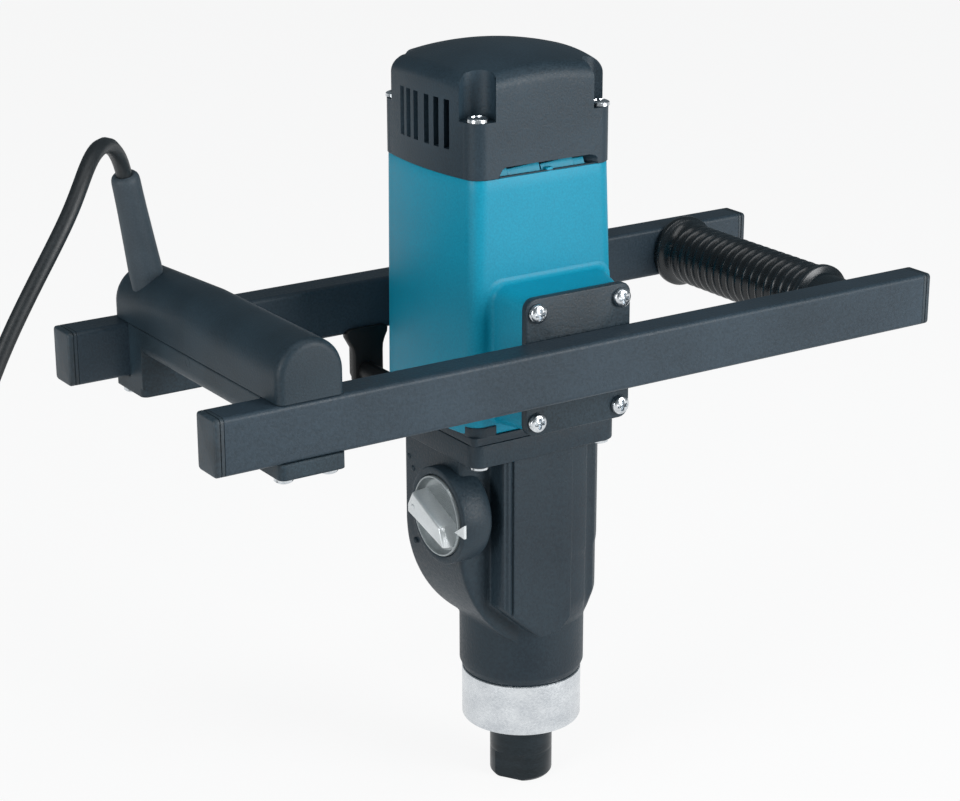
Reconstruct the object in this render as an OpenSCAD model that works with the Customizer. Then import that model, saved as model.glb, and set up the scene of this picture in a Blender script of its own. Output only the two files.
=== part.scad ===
// Mixing drill: an upright motor and gearbox carried between two long side bars,
// with a ribbed grip across one end and a switch handle across the other.
// The origin is the centre of the spindle nose's face, +Z runs up the spindle
// and +X runs along the bars to the ribbed grip.

/* [Side frame] */
// Length of a side bar over its end caps
bar_len = 383; // [370:1:420]
// Width over the outer faces of both bars
frame_w = 155; // [152:1:170]
// Height of a bar
bar_h = 25; // [23:1:28]
// Thickness of a bar
bar_t = 16; // [14:1:18]
// Wall of a bar's tube
bar_wall = 2; // [1.5:0.5:3]

/* [Housings] */
// Width of the housings at the flange joint
body_w = 79.3; // [78:0.1:84]
// Depth of the motor housing, front to back
body_d = 76; // [76:0.5:80]
// Height of the gear housing with its neck
case_h = 132.5; // [132:0.5:150]
// Height of the motor housing
motor_h = 117; // [115:1:130]
// Height of the rear cover
cover_h = 52; // [50:1:60]
// Diameter of the neck
neck_d = 60; // [60:0.5:66]

/* [Spindle] */
// Diameter of the spindle's nose
spindle_d = 30.4; // [28:0.2:32]
// Length of nose that shows below the collar
nose_len = 32; // [28:0.5:45]
// Diameter of the turned collar
collar_d = 57.7; // [56:0.1:60]
// Height of the turned collar
collar_h = 26; // [20:0.5:28]
// Core diameter of the mixer's threaded socket
thread_core_d = 12; // [10:0.5:14]
// Depth of the threaded socket
thread_depth = 30; // [20:1:32]

/* [Grips] */
// Diameter of the ribbed grip over its ribs
grip_d = 31; // [28:0.5:36]
// Distance of the ribbed grip's axis from the end of the bars
grip_inset = 41.9; // [36:0.1:50]
// Width of the switch handle
handle_w = 31; // [30:0.5:36]
// Distance of the handle's middle from the end of the bars
handle_inset = 44.6; // [42:0.1:50]

/* [Cord] */
// Diameter of the cord
cord_d = 7; // [6:0.5:7]

/* [Hidden] */
$fn = 64;

// Small distances: a seat between fixed pieces, a running fit, a free gap, and
// the overshoot of a cut
seat = 0.05;
run = 0.05;
gap = 0.3;
e = 0.5;

// Gear train: teeth, modules and tooth form
z_pinion = 9;
z_first = 32;
z_first_pinion = 13;
z_second = 44;
z_low_pinion = 9;
z_low = 27;
z_high_pinion = 16;
z_high = 20;
m_fine = 1;
m_block = 1.25;
pressure = 25;
addendum = 0.8;
dedendum = 1.05;
tooth_play = 0.12;
shift_travel = 9;

// Shaft axes, all on Y = 0, from the spindle back to the motor
x_second = -m_block * (z_low_pinion + z_low) / 2;
x_first = x_second + m_fine * (z_first_pinion + z_second) / 2;
x_motor = x_first - m_fine * (z_pinion + z_first) / 2;

// Levels, from the spindle nose up
z_collar = nose_len;
z_neck = z_collar + collar_h;
z_case = z_neck + case_h;
flange_t = 4;
z_motor = z_case + flange_t;
z_cover = z_motor + motor_h;
z_top = z_cover + cover_h;
case_flange_t = 11;
z_under_flange = z_case - case_flange_t;
z_floor = z_case - 95;
z_bracket = z_case - 58;
bracket_t = 12;
z_knob = z_case - 39.5;
z_arc = z_case - 52;

// Housing plan
flange_x = -12.65;
flange_w = body_w;
flange_d = body_d + 1;
top_w = body_w - 4.5;
corner_r = 6;
top_corner_r = 8;
bulge = 2.7;
housing_wall = 4;
housing_bore_r = body_d / 2 - housing_wall;
case_r = body_d / 2 - 2;
case_wall = 3.5;
case_left = flange_x - flange_w / 2 + 1.8;
case_left_half = 24;
case_mid_left = -34;
case_mid_right = 4;
case_mid_half = case_r - 0.5;
arc_r = 68;
screw_in = 5.5;
screw_dx = flange_w / 2 - screw_in - 0.85;
screw_dy = flange_d / 2 - screw_in;
cover_screw_in = 4.5;
cover_screw_dx = top_w / 2 - cover_screw_in - 0.6;
cover_screw_dy = body_d / 2 - cover_screw_in;
ledge_h = 25;
channel_r = 8;
cover_proud = 0.3;
shoulder_r = 8;
crown_r = 130;
slot_ys = [-19.7, -12.3, -5, 3.7, 10.2, 16.1];
slot_w = 3.4;
lug_h = 4.5;
lug = 13;

// Motor levels and radii inside its housing
core_z = z_motor + 0.316 * motor_h;
core_h = 0.41 * motor_h;
overhang = 0.0685 * motor_h;
brush_z = core_z + core_h + 10;
core_in_r = housing_bore_r - 12;
coil_out_r = housing_bore_r - 4.8;
fan_r = housing_bore_r - 3;
commutator_r = 12.5;

// Bars, plates and pads
frame_x = -8.6;
bar_z = z_motor + 36.5;
bar_out = frame_w / 2;
bar_in = bar_out - bar_t;
bar_bottom = bar_z - bar_h / 2;
bar_top = bar_z + bar_h / 2;
cap_t = 4.5;
bar_x0 = frame_x - bar_len / 2;
bar_x1 = frame_x + bar_len / 2;
plate_t = 4;
plate_x = -12;
far_plate_x = plate_x + 6.5;
plate_w = 56;
plate_h = 63;
pad_face = bar_in - plate_t;
plate_screw_x = 22.5;
plate_screw_z = 25;

// Grip and handle
grip_x = bar_x1 - grip_inset;
grip_z = bar_z - 1;
grip_tube_r = 10;
rib_pitch = 6.3;
handle_x = bar_x0 + handle_inset;
handle_half = handle_w / 2;
shell_wall = 3;
arch_z = bar_top + 10.5;
dip = 3.5;
dip_y = 12;
shell_bottom = bar_top - 13;
block_in = bar_in - 12.5;
sole_z = bar_bottom - 7;
trigger_x0 = handle_x - 1.5;
trigger_w = 12;
trigger_y = 12;
trigger_z = shell_bottom + 6;
button_y = -30;
button_z = bar_top + 7;

// Spindle and its bearings
journal_r = 12.5;
spindle_r = spindle_d / 2;
spline_core_r = 6.6;
spline_r = 8;
spline_w = 2.4;
spindle_top = z_bracket + 5;
bearing_z = z_neck + 2;
bearing_h = 15;
bearing_r = 26;
top_journal_r = 6;
top_bearing_r = 11;
seal_z = z_collar + 3.5;
seal_h = 8;
seal_r = 22;

// Knob
knob_y = -14;
knob_r = 19;
knob_out = case_left - 7;
knob_boss_r = 23;
knob_boss_in = case_left + 10;
knob_recess = 3.7;
knob_dish = 3.4;
knob_rise = 5;
stem_r = 9;
pin_r = 2;
pin_throw = shift_travel / 2;
bar_angle = 18;

// Cable duct under the far bar, with the feed from the switch
duct_w = 11.5;
duct_x = flange_x - flange_w / 2 + 3.1;
feed_x = handle_x;
feed_r = 2.2;
feed_y = bar_in + bar_wall + feed_r + 0.2;

// Cord route: from inside the handle, through its guard, over and down to the
// coil on the floor. Round figures, placed by eye.
guard_base = [handle_x - 8.1, 56, arch_z + 13.2];
guard_top = [handle_x - 19.5, 48, arch_z + 59];
guard_dir = (guard_top - guard_base) / norm(guard_top - guard_base);
guard_r0 = 7.5;
guard_r1 = 6.3;
coil_x = handle_x - 174.5;
coil_y = 42;
coil_r = 38.75;
coil_pitch = 7.5;
coil_layers = 4;
layer_turns = 2;
coil_steps = 24;
coil_z = cord_d / 2 + 1.5;
coil_end_x = coil_x + coil_r + coil_pitch * layer_turns / 2;
coil_top_z = coil_z + coil_pitch * (coil_layers - 1);
lead_points = [
    guard_base - 8 * guard_dir,
    guard_base + 14 * guard_dir,
    guard_base + 30 * guard_dir,
    guard_top,
    [handle_x - 23, 44.5, arch_z + 68],
    [handle_x - 28, 39.5, arch_z + 74.5],
    [handle_x - 33.5, 34, arch_z + 78],
    [handle_x - 39.5, 28, arch_z + 79],
    [handle_x - 45.5, 22.5, arch_z + 77],
    [handle_x - 51, 17.5, arch_z + 72.5],
    [handle_x - 56.5, 13, arch_z + 66],
    [handle_x - 63, 9, arch_z + 57.5],
    [handle_x - 71.5, 6, arch_z + 46.5],
    [handle_x - 83.5, 3.5, arch_z + 30.5],
    [handle_x - 95.5, 2, arch_z + 12.5],
    [handle_x - 106.5, 1, arch_z - 7.5],
    [handle_x - 115.5, 0, arch_z - 29.5],
    [handle_x - 122.5, -1, arch_z - 52.5],
    [handle_x - 126.5, -1.5, arch_z - 76.5],
    [coil_end_x, -2, 158],
    [coil_end_x, -2, 138],
    [coil_end_x, -2, 118],
    [coil_end_x, -2, 98],
    [coil_end_x, -2, 78],
    [coil_end_x, -2, 60],
    [coil_end_x, -0.5, 49.5],
    [coil_end_x, 4, 40],
    [coil_end_x, 11, 32.5],
    [coil_end_x, 20, coil_top_z + 0.7],
    [coil_end_x, 28, coil_top_z],
    [coil_end_x, coil_y - cord_d, coil_top_z]
];
plug_t = 17;
plug_w = 37;
plug_len = 47;
relief_len = 14;
plug_z = plug_t / 2;
relief_y = 91;
tail_points = [
    [coil_end_x, coil_y + cord_d, coil_z],
    [coil_end_x, 57, coil_z],
    [coil_end_x, 64, coil_z + 0.6],
    [coil_end_x, 72, plug_z - 0.6],
    [coil_end_x, 83, plug_z],
    [coil_end_x, relief_y, plug_z]
];

// Plain helpers

// A rounded rectangle from circles and squares
module round_rect(x0, x1, y0, y1, r)
{
    translate([x0 + r, y0]) square([x1 - x0 - 2 * r, y1 - y0]);
    translate([x0, y0 + r]) square([x1 - x0, y1 - y0 - 2 * r]);
    for (x = [x0 + r, x1 - r], y = [y0 + r, y1 - r]) translate([x, y]) circle(r = r);
}

// An upright slab with rounded corners
module slab(x0, x1, y0, y1, z0, z1, r)
{
    translate([0, 0, z0]) linear_extrude(height = z1 - z0) round_rect(x0, x1, y0, y1, r);
}

// A box from its two corners
module box(x0, x1, y0, y1, z0, z1)
{
    translate([x0, y0, z0]) cube([x1 - x0, y1 - y0, z1 - z0]);
}

// An upright rod and an upright tube on the axis at x, y
module rod(r, z0, z1, x = 0, y = 0)
{
    translate([x, y, z0]) cylinder(r = r, h = z1 - z0);
}

module tube(r_out, r_in, z0, z1, x = 0, y = 0)
{
    difference() {
        rod(r_out, z0, z1, x, y);
        rod(r_in, z0 - e, z1 + e, x, y);
    }
}

// Rods along X and along Y
module rod_x(r, x0, x1, y, z)
{
    translate([x0, y, z]) rotate([0, 90, 0]) cylinder(r = r, h = x1 - x0);
}

module rod_y(r, y0, y1, x, z)
{
    translate([x, y1, z]) rotate([90, 0, 0]) cylinder(r = r, h = y1 - y0);
}

// An outline in X and Z, drawn out along Y
module along_y(y0, y1)
{
    translate([0, y1, 0]) rotate([90, 0, 0]) linear_extrude(height = y1 - y0) children();
}

// An outline in Y and Z, drawn out along X
module along_x(x0, x1)
{
    translate([x0, 0, 0]) rotate([90, 0, 90]) linear_extrude(height = x1 - x0) children();
}

// The same piece at the near and the far side
module both_sides()
{
    for (side = [0, 1]) mirror([0, side, 0]) children();
}

// Involute gears

// Half the angle that a tooth fills at radius r
function flank(n, m, r) =
    let (rp = m * n / 2, rb = rp * cos(pressure), a = r > rb ? acos(rb / r) : 0)
    90 / n - tooth_play / rp * 90 / PI
        + (tan(pressure) - tan(a)) * 180 / PI - pressure + a;

// A gear's outline, with a tooth on the X axis
function gear_outline(n, m) =
    let (
        rf = m * (n / 2 - dedendum),
        ra = m * (n / 2 + addendum),
        rb = m * n / 2 * cos(pressure),
        start = max(rf, rb),
        radii = concat(rb > rf ? [rf] : [], [for (k = [0:3]) start + (ra - start) * k / 3])
    )
    [for (t = [0:n - 1], s = [-1, 1], k = [0:len(radii) - 1])
        let (r = radii[s < 0 ? k : len(radii) - 1 - k], a = 360 * t / n + s * flank(n, m, r))
        r * [cos(a), sin(a)]];

module gear(n, m, x, z0, z1, turn = 0)
{
    translate([x, 0, z0]) rotate([0, 0, turn])
        linear_extrude(height = z1 - z0) polygon(gear_outline(n, m));
}

// Housing plans

// Plan of the motor housing and the parts stacked on it: a rounded rectangle
// whose left and right sides swell a little
module bulged_plan(cx, w, d, r)
{
    reach = d / 2 - r;
    big = (reach * reach + bulge * bulge) / (2 * bulge);
    half = w / 2;
    round_rect(cx - half, cx + half, -d / 2, d / 2, r);
    intersection() {
        translate([cx - half - bulge, -reach - 1]) square([2 * (half + bulge), 2 * reach + 2]);
        translate([cx + half + bulge - big, 0]) circle(r = big, $fn = 160);
        translate([cx - half - bulge + big, 0]) circle(r = big, $fn = 160);
    }
}

// Plan of the gear housing's body, set in by the given amount
module case_plan(inset)
{
    circle(r = case_r - inset);
    translate([case_mid_left + inset, inset - case_mid_half])
        square([case_mid_right - case_mid_left - inset, 2 * (case_mid_half - inset)]);
    translate([case_left + inset, inset - case_left_half])
        square([-case_left - inset, 2 * (case_left_half - inset)]);
}

// The lower left of the gear housing sweeps in to the neck on this arc
module case_arc(inset)
{
    intersection() {
        union() {
            translate([case_left + arc_r, z_arc]) circle(r = arc_r - inset, $fn = 128);
            translate([-80, inset > 0 ? z_bracket - e : z_arc]) square([80, 60]);
        }
        translate([-80, z_neck]) square([80 + case_mid_right, 140]);
    }
}

// Front view of the gear housing's middle, with its slanted underside
module case_front(inset)
{
    low = z_floor - 8.5 + 2.4 * inset;
    left = case_mid_left + inset;
    polygon([
        [left, z_under_flange + e], [left, z_floor + 10 + inset / 2],
        [-14 - inset, low], [30, low],
        [36.5 - inset, low + 9.5 - inset], [36.5 - inset, z_under_flange + e]
    ]);
}

// Gear housing body between two levels
module case_body(inset, z1)
{
    intersection() {
        translate([0, 0, z_floor - 20]) linear_extrude(height = z1 - z_floor + 20) case_plan(inset);
        union() {
            intersection() {
                along_y(-case_left_half, case_left_half) case_arc(inset);
                box(-80, 0, -40, 40, z_floor - 18, z1);
            }
            along_y(-40, 40) case_front(inset);
            box(-80, 60, -40, 40, z_under_flange - e, z1);
        }
    }
}

// Where the four housing screws stand
module at_housing_screws()
{
    for (x = [-screw_dx, screw_dx], y = [-screw_dy, screw_dy])
        translate([flange_x + x, y, 0]) children();
}

// Where the four cover screws stand
module at_cover_screws()
{
    for (x = [-cover_screw_dx, cover_screw_dx], y = [-cover_screw_dy, cover_screw_dy])
        translate([x_motor + x, y, 0]) children();
}

// Children on both side plates, from the middle of each
module at_plates()
{
    translate([plate_x, 0, 0]) mirror([0, 1, 0]) children();
    translate([far_plate_x, 0, 0]) children();
}

// Sweeps

function unit(v) = v / norm(v);
function path_dir(p, k) =
    unit(p[min(k + 1, len(p) - 1)] - p[max(k - 1, 0)]);

// Sides of a ring round the path: level where the path isn't upright
function side_of(d, hint) = unit(cross(hint, d));

// A tube with flat ends through the points
module sweep(p, r, sides, hint)
{
    n = len(p);
    rings = [for (k = [0:n - 1])
        let (
            d = k == 0 ? unit(p[1] - p[0]) : k == n - 1 ? unit(p[k] - p[k - 1]) : path_dir(p, k),
            u = side_of(d, hint(p[k])),
            v = cross(d, u)
        )
        for (j = [0:sides - 1]) p[k] + r * (cos(360 * j / sides) * u + sin(360 * j / sides) * v)];
    faces = concat(
        [[for (j = [0:sides - 1]) j]],
        [for (k = [0:n - 2], j = [0:sides - 1])
            let (a = k * sides + j, b = k * sides + (j + 1) % sides)
            [a, a + sides, b + sides, b]],
        [[for (j = [sides - 1:-1:0]) (n - 1) * sides + j]]
    );
    polyhedron(points = rings, faces = faces, convexity = 6);
}

// Coil: turns spiral in and out, layer over layer, and climb round each reversal
function layer_radius(t) =
    let (k = floor(t / layer_turns), f = t - k * layer_turns)
    coil_r + coil_pitch * (k % 2 == 0 ? layer_turns / 2 - f : f - layer_turns / 2);
function climb(t) =
    let (k = round(t / layer_turns), f = (t - k * layer_turns) * 4)
    k < 1 || k > coil_layers - 1 || abs(f) > 1 ? min(floor(t / layer_turns), coil_layers - 1)
        : k - 0.5 + f / 2;
function coil_point(t) = [
    coil_x + layer_radius(t) * cos(360 * t),
    coil_y - layer_radius(t) * sin(360 * t),
    coil_z + coil_pitch * climb(t)
];
coil_turns = coil_layers * layer_turns;
coil_points = concat(
    [[coil_end_x, coil_y + cord_d, coil_z]],
    [for (k = [0:coil_turns * coil_steps]) coil_point(k / coil_steps)],
    [[coil_end_x, coil_y - cord_d, coil_top_z]]
);
echo(coil_gap = min([for (a = [0:len(coil_points) - 1], b = [a + coil_steps / 2:len(coil_points) - 1])
    norm(coil_points[a] - coil_points[b])]) - cord_d);
function length(p) = norm([for (k = [1:len(p) - 1]) sqrt(norm(p[k] - p[k - 1]))]) ^ 2;
echo(cord_length = length(lead_points) + length(coil_points) + length(tail_points));

// Motor

// Outline of the cover, seen from the front or the side: a low crown between
// rounded shoulders, with its feet below the cover's edge
module shoulders(cx, half)
{
    round_rect(cx - half, cx + half, z_cover - 2 * shoulder_r, z_top - 2, shoulder_r);
    translate([cx - half + shoulder_r, z_top - shoulder_r]) square([2 * (half - shoulder_r), shoulder_r]);
}

module rear_cover()
{
    inner_top = z_cover + cover_h - 14;
    ledge_z = z_cover + ledge_h;
    half_w = top_w / 2 + cover_proud;
    half_d = body_d / 2 + cover_proud;
    slot_x = top_w / 2 + bulge;
    foot_z = z_cover - e;
    color("#2b343b") difference() {
        intersection() {
            translate([0, 0, z_cover]) linear_extrude(height = cover_h + e)
                bulged_plan(x_motor, 2 * half_w, 2 * half_d, top_corner_r);
            along_y(-body_d, body_d) shoulders(x_motor, half_w + bulge + 0.15);
            along_x(x_motor - body_w, x_motor + body_w) shoulders(0, half_d + 0.15);
            translate([x_motor, 0, z_top - crown_r]) sphere(r = crown_r, $fn = 256);
        }
        difference() {
            rod(housing_bore_r - 1, foot_z, inner_top, x_motor);
            tube(14, 11, z_cover + 5, inner_top + e, x_motor);
            rod(14, z_cover + 13, inner_top + e, x_motor);
        }
        at_cover_screws() {
            rod(channel_r, ledge_z, z_top);
            rod(2.5, foot_z, ledge_z + e);
        }
        for (y = slot_ys, side = [-1, 1]) translate([x_motor + side * slot_x, y, 0])
            box(-16, 16, -slot_w / 2, slot_w / 2, z_cover + 11.7, z_cover + 33.3);
        along_y(-half_d - e, half_d + e) translate([x_motor, 0])
            polygon([[-24.5, foot_z], [-19, z_cover + 4.5], [25, z_cover + 4.5], [28.3, foot_z]]);
    }
}

module cover_screws()
{
    color("#c9ccce") at_cover_screws() {
        rod(4, z_cover + ledge_h, z_cover + ledge_h + 2.6);
        rod(2.45, z_cover - 17, z_cover + ledge_h);
    }
}

module motor_housing()
{
    pad_x0 = -plate_w / 2 - 2.2;
    pad_x1 = plate_w / 2 + 2.7;
    pad_z0 = bar_z - plate_h / 2 - 0.3;
    pad_z1 = bar_z + plate_h / 2 + 1;
    color("#1f8dab") difference() {
        union() {
            hull() {
                translate([0, 0, z_motor]) linear_extrude(height = 1)
                    bulged_plan(flange_x, flange_w, body_d, corner_r, $fn = 32);
                translate([0, 0, z_cover - 1]) linear_extrude(height = 1)
                    bulged_plan(x_motor, top_w, body_d, top_corner_r, $fn = 32);
            }
            at_plates() hull() {
                along_y(pad_face - 1, pad_face)
                    round_rect(pad_x0 + 3.5, pad_x1 - 3.5, pad_z0 + 1, pad_z1 - 3, 5, $fn = 32);
                along_y(body_d / 2 - 5, body_d / 2)
                    round_rect(pad_x0, pad_x1, pad_z0, pad_z1, 5, $fn = 32);
            }
        }
        rod(housing_bore_r, z_motor - e, z_cover + e, x_motor);
        at_housing_screws() rod(2.45, z_motor - e, z_motor + 17);
        at_cover_screws() rod(2.5, z_cover - 18, z_cover + e);
        for (x = [-1, 1], y = [-1, 1]) translate([flange_x + x * flange_w / 2, y * flange_d / 2, 0])
            box(-lug - seat, lug + seat, -lug - seat, lug + seat, z_motor - e, z_motor + lug_h + seat);
        at_plates() {
            box(pad_x0 + 8, pad_x1 - 8, body_d / 2 + 4, pad_face + e, pad_z0 + 17, pad_z1 - 19);
            for (x = [-1, 1], z = [-1, 1])
                rod_y(2.45, pad_face - 14, pad_face + e, x * plate_screw_x, bar_z + z * plate_screw_z);
        }
    }
}

module field_core()
{
    z1 = core_z + core_h;
    color("#7d8285") difference() {
        rod(housing_bore_r - seat, core_z, z1, x_motor);
        rod(core_in_r, core_z - e, z1 + e, x_motor);
        for (side = [-1, 1]) intersection() {
            tube(coil_out_r + 0.3, core_in_r - 2, core_z - e, z1 + e, x_motor);
            translate([x_motor, 0, 0]) linear_extrude(height = z_top)
                polygon([[0, 0], [40, side * 48], [-40, side * 48]]);
        }
    }
}

module field_coils()
{
    color("#9a4a24") difference() {
        tube(coil_out_r, core_in_r + 1, core_z - overhang, core_z + core_h + overhang, x_motor);
        for (side = [-1, 1]) {
            translate([x_motor, 0, 0]) linear_extrude(height = z_top)
                polygon([[0, 0], [side * 40, 3], [side * 40, -3]]);
            translate([x_motor, 0, core_z - 0.1]) linear_extrude(height = core_h + 0.2)
                polygon([[0, 0], [side * 40, 53], [side * 40, -53]]);
        }
    }
}

module brush_plate()
{
    color("#8a6a3c") {
        tube(housing_bore_r - seat, 15, brush_z, brush_z + 2.5, x_motor);
        both_sides() difference() {
            box(x_motor - 6, x_motor + 6, 14.5, housing_bore_r - 3, brush_z + 2.5, brush_z + 13.5);
            box(x_motor - 4.1, x_motor + 4.1, 14, housing_bore_r - 5, brush_z + 3.5, brush_z + 12.5);
        }
    }
}

module carbon_brushes()
{
    color("#26282a") both_sides() difference() {
        box(x_motor - 4, x_motor + 4, 10.5, 25, brush_z + 3.6, brush_z + 12.4);
        rod(commutator_r + run, brush_z, brush_z + 17, x_motor);
    }
}

module ball_bearing(r_out, r_shaft, z0, z1, x = 0)
{
    color("#b9bec2") tube(r_out, r_shaft + run, z0, z1, x);
}

module upper_bearing()
{
    ball_bearing(11 - seat, 4, z_cover + 5, z_cover + 13, x_motor);
}

module lower_bearing()
{
    ball_bearing(11 - seat, 5.4, z_case + 1, z_case + 9, x_motor);
}

module air_baffle()
{
    color("#333c43") tube(housing_bore_r - seat, 24, core_z - overhang - 3, core_z - overhang - 0.5, x_motor);
}

module armature_shaft()
{
    color("#a9aeb2") {
        rod(5.4, z_case - 6, brush_z - 1, x_motor);
        rod(5, brush_z - 1, z_cover - 4, x_motor);
        rod(4, z_cover - 4, z_cover + 12, x_motor);
        gear(z_pinion, m_fine, x_motor, z_case - 18, z_case - 6);
    }
}

module armature_core()
{
    color("#6f757a") difference() {
        tube(core_in_r - 0.6, 5.4 + seat, core_z, core_z + core_h, x_motor);
        for (k = [0:11]) translate([x_motor, 0, core_z - e]) rotate([0, 0, 30 * k])
            translate([17, -1, 0]) cube([6, 2, core_h + 2 * e]);
    }
}

module armature_windings()
{
    color("#a85a2a") {
        tube(19, 5.4 + seat, core_z + core_h, core_z + core_h + 6, x_motor);
        tube(19, 5.4 + seat, core_z - 6, core_z, x_motor);
    }
}

module commutator()
{
    color("#b87b4a") difference() {
        tube(commutator_r, 5 + seat, brush_z - 0.5, brush_z + 15, x_motor);
        for (k = [0:23]) translate([x_motor, 0, brush_z + 2]) rotate([0, 0, 15 * k])
            translate([11.8, -0.3, 0]) cube([2, 0.6, 14]);
    }
}

module fan()
{
    color("#3d464d") {
        tube(fan_r, 5.4 + seat, z_motor + 9, z_motor + 11.5, x_motor);
        tube(10, 5.4 + seat, z_motor + 11.5, z_motor + 22, x_motor);
        for (k = [0:11]) translate([x_motor, 0, z_motor + 11.5]) rotate([0, 0, 30 * k])
            translate([12, -0.8, 0]) cube([fan_r - 13, 1.6, 10]);
    }
}

// Gearbox

module bearing_flange()
{
    color("#2b343b") difference() {
        union() {
            slab(flange_x - flange_w / 2, flange_x + flange_w / 2,
                -flange_d / 2, flange_d / 2, z_case, z_motor, corner_r);
            intersection() {
                slab(flange_x - flange_w / 2, flange_x + flange_w / 2,
                    -flange_d / 2, flange_d / 2, z_case, z_motor + lug_h, corner_r);
                for (x = [-1, 1], y = [-1, 1])
                    translate([flange_x + x * flange_w / 2, y * flange_d / 2, 0])
                    box(-lug, lug, -lug, lug, z_case, z_motor + lug_h);
            }
            rod(14, z_case, z_case + 9, x_motor);
            rod(10.5, z_case - 5.5, z_case + 1, x_first);
        }
        rod(11, z_case + 1, z_case + 9 + e, x_motor);
        rod(6, z_case - e, z_case + 2, x_motor);
        rod(8, z_case - 6, z_case, x_first);
        at_housing_screws() rod(2.5, z_case - e, z_motor + lug_h + e);
    }
}

module gear_housing()
{
    neck_r = neck_d / 2;
    color("#2b343b") difference() {
        union() {
            slab(flange_x - flange_w / 2, flange_x + flange_w / 2,
                -flange_d / 2, flange_d / 2, z_under_flange, z_case, corner_r);
            difference() {
                case_body(0, z_case - 1);
                at_housing_screws() rod(6, z_neck, z_under_flange);
            }
            rod(neck_r, z_neck + 4, z_floor - 1);
            translate([0, 0, z_neck]) cylinder(r1 = neck_r - 1.5, r2 = neck_r, h = 4);
            rod_x(knob_boss_r, knob_out + 1, knob_boss_in, knob_y, z_knob);
        }
        difference() {
            union() {
                intersection() {
                    case_body(case_wall, z_case + e);
                    union() {
                        translate([0, 0, z_floor]) linear_extrude(height = z_bracket - z_floor)
                            case_plan(case_wall + 1);
                        box(-90, 90, -50, 50, z_bracket, z_case + e);
                    }
                }
                rod(24, z_case - 30, z_case - 17, x_second);
                rod(8.5, z_floor, z_floor + 8, x_second);
            }
            tube(12, 8.5, z_floor - e, z_floor + 3.5, x_second);
        }
        rod(bearing_r, z_neck - e, z_neck + 17);
        rod(15, z_neck + 16, z_floor + e);
        at_housing_screws() rod(2.5, z_under_flange - e, z_case + e);
        rod_x(knob_r + gap, knob_out - e, knob_out + 1 + knob_recess, knob_y, z_knob);
        rod_x(stem_r + run, knob_out, case_left + 12, knob_y, z_knob);
    }
}

module housing_screws()
{
    color("#c9ccce") at_housing_screws() {
        rod(4.4, z_under_flange - 2.4, z_under_flange);
        rod(2.4, z_under_flange, z_motor + 16);
    }
}

module inner_bracket()
{
    color("#8f969b") difference() {
        translate([0, 0, z_bracket]) linear_extrude(height = bracket_t)
            case_plan(case_wall + seat);
        rod(top_bearing_r, z_bracket - e, z_bracket + 5);
        rod(8, z_bracket + 7, z_bracket + bracket_t + e, x_first);
        rod(8.5, z_bracket - e, z_bracket + bracket_t + e, x_second);
        box(-60, case_mid_left + 2.4, -24, -3.5, z_bracket - e, z_bracket + bracket_t + e);
    }
}

module shaft_bearings()
{
    ball_bearing(8 - seat, 4, z_bracket + 7, z_bracket + 12, x_first);
    ball_bearing(8 - seat, 4, z_case - 5, z_case, x_first);
    ball_bearing(8.5 - seat, 5, z_bracket + 2, z_bracket + 10, x_second);
    ball_bearing(8.5 - seat, 4, z_floor, z_floor + 7, x_second);
}

module spindle_bearings()
{
    ball_bearing(bearing_r - seat, journal_r, bearing_z, bearing_z + bearing_h);
    ball_bearing(top_bearing_r - seat, top_journal_r, z_bracket, z_bracket + 5);
}

module spindle_collar()
{
    color("#c8cdd3") difference() {
        union() {
            rod(collar_d / 2, z_collar, z_neck);
            rod(bearing_r - seat, z_neck - 1, bearing_z - seat);
        }
        rod(spindle_r + 0.8, z_collar - e, z_neck + 3);
        rod(seal_r, seal_z, z_neck + 3);
    }
}

module oil_seal()
{
    color("#33383c") tube(seal_r - seat, spindle_r + run, seal_z, seal_z + seal_h);
}

module first_shaft()
{
    color("#a9aeb2") {
        rod(4, z_bracket + 7.2, z_case - 0.2, x_first);
        rod(5, z_case - 18, z_case - 6, x_first);
        gear(z_first_pinion, m_fine, x_first, z_case - 29, z_case - 18);
    }
}

module first_gear()
{
    color("#8f959a") difference() {
        gear(z_first, m_fine, x_first, z_case - 16, z_case - 8, 180 / z_first);
        rod(5 + seat, z_case - 17, z_case - 7, x_first);
        for (k = [0:5]) translate([x_first, 0, 0]) rotate([0, 0, 60 * k])
            rod(2.6, z_case - 17, z_case - 7, 10);
    }
}

module second_shaft()
{
    color("#a9aeb2") {
        rod(4, z_floor + 0.2, z_floor + 29, x_second);
        rod(5, z_floor + 28.5, z_case - 18.8, x_second);
        gear(z_low_pinion, m_block, x_second, z_floor + 11.5, z_floor + 20);
        gear(z_high_pinion, m_block, x_second, z_floor + 28.5, z_floor + 35.5);
    }
}

module second_gear()
{
    color("#8f959a") difference() {
        gear(z_second, m_fine, x_second, z_case - 28, z_case - 19);
        rod(5 + seat, z_case - 29, z_case - 18, x_second);
        for (k = [0:5]) translate([x_second, 0, 0]) rotate([0, 0, 60 * k])
            rod(4, z_case - 29, z_case - 18, 13.5);
    }
}

// Splines of the spindle, or with a clearance the slots of the gear on it
module splines(z0, z1, free)
{
    width = spline_w + 2 * free;
    translate([0, 0, z0]) linear_extrude(height = z1 - z0) {
        circle(r = spline_core_r + free);
        intersection() {
            circle(r = spline_r + free);
            for (k = [0:2]) rotate(60 * k) square([4 * spline_r, width], center = true);
        }
    }
}

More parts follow.
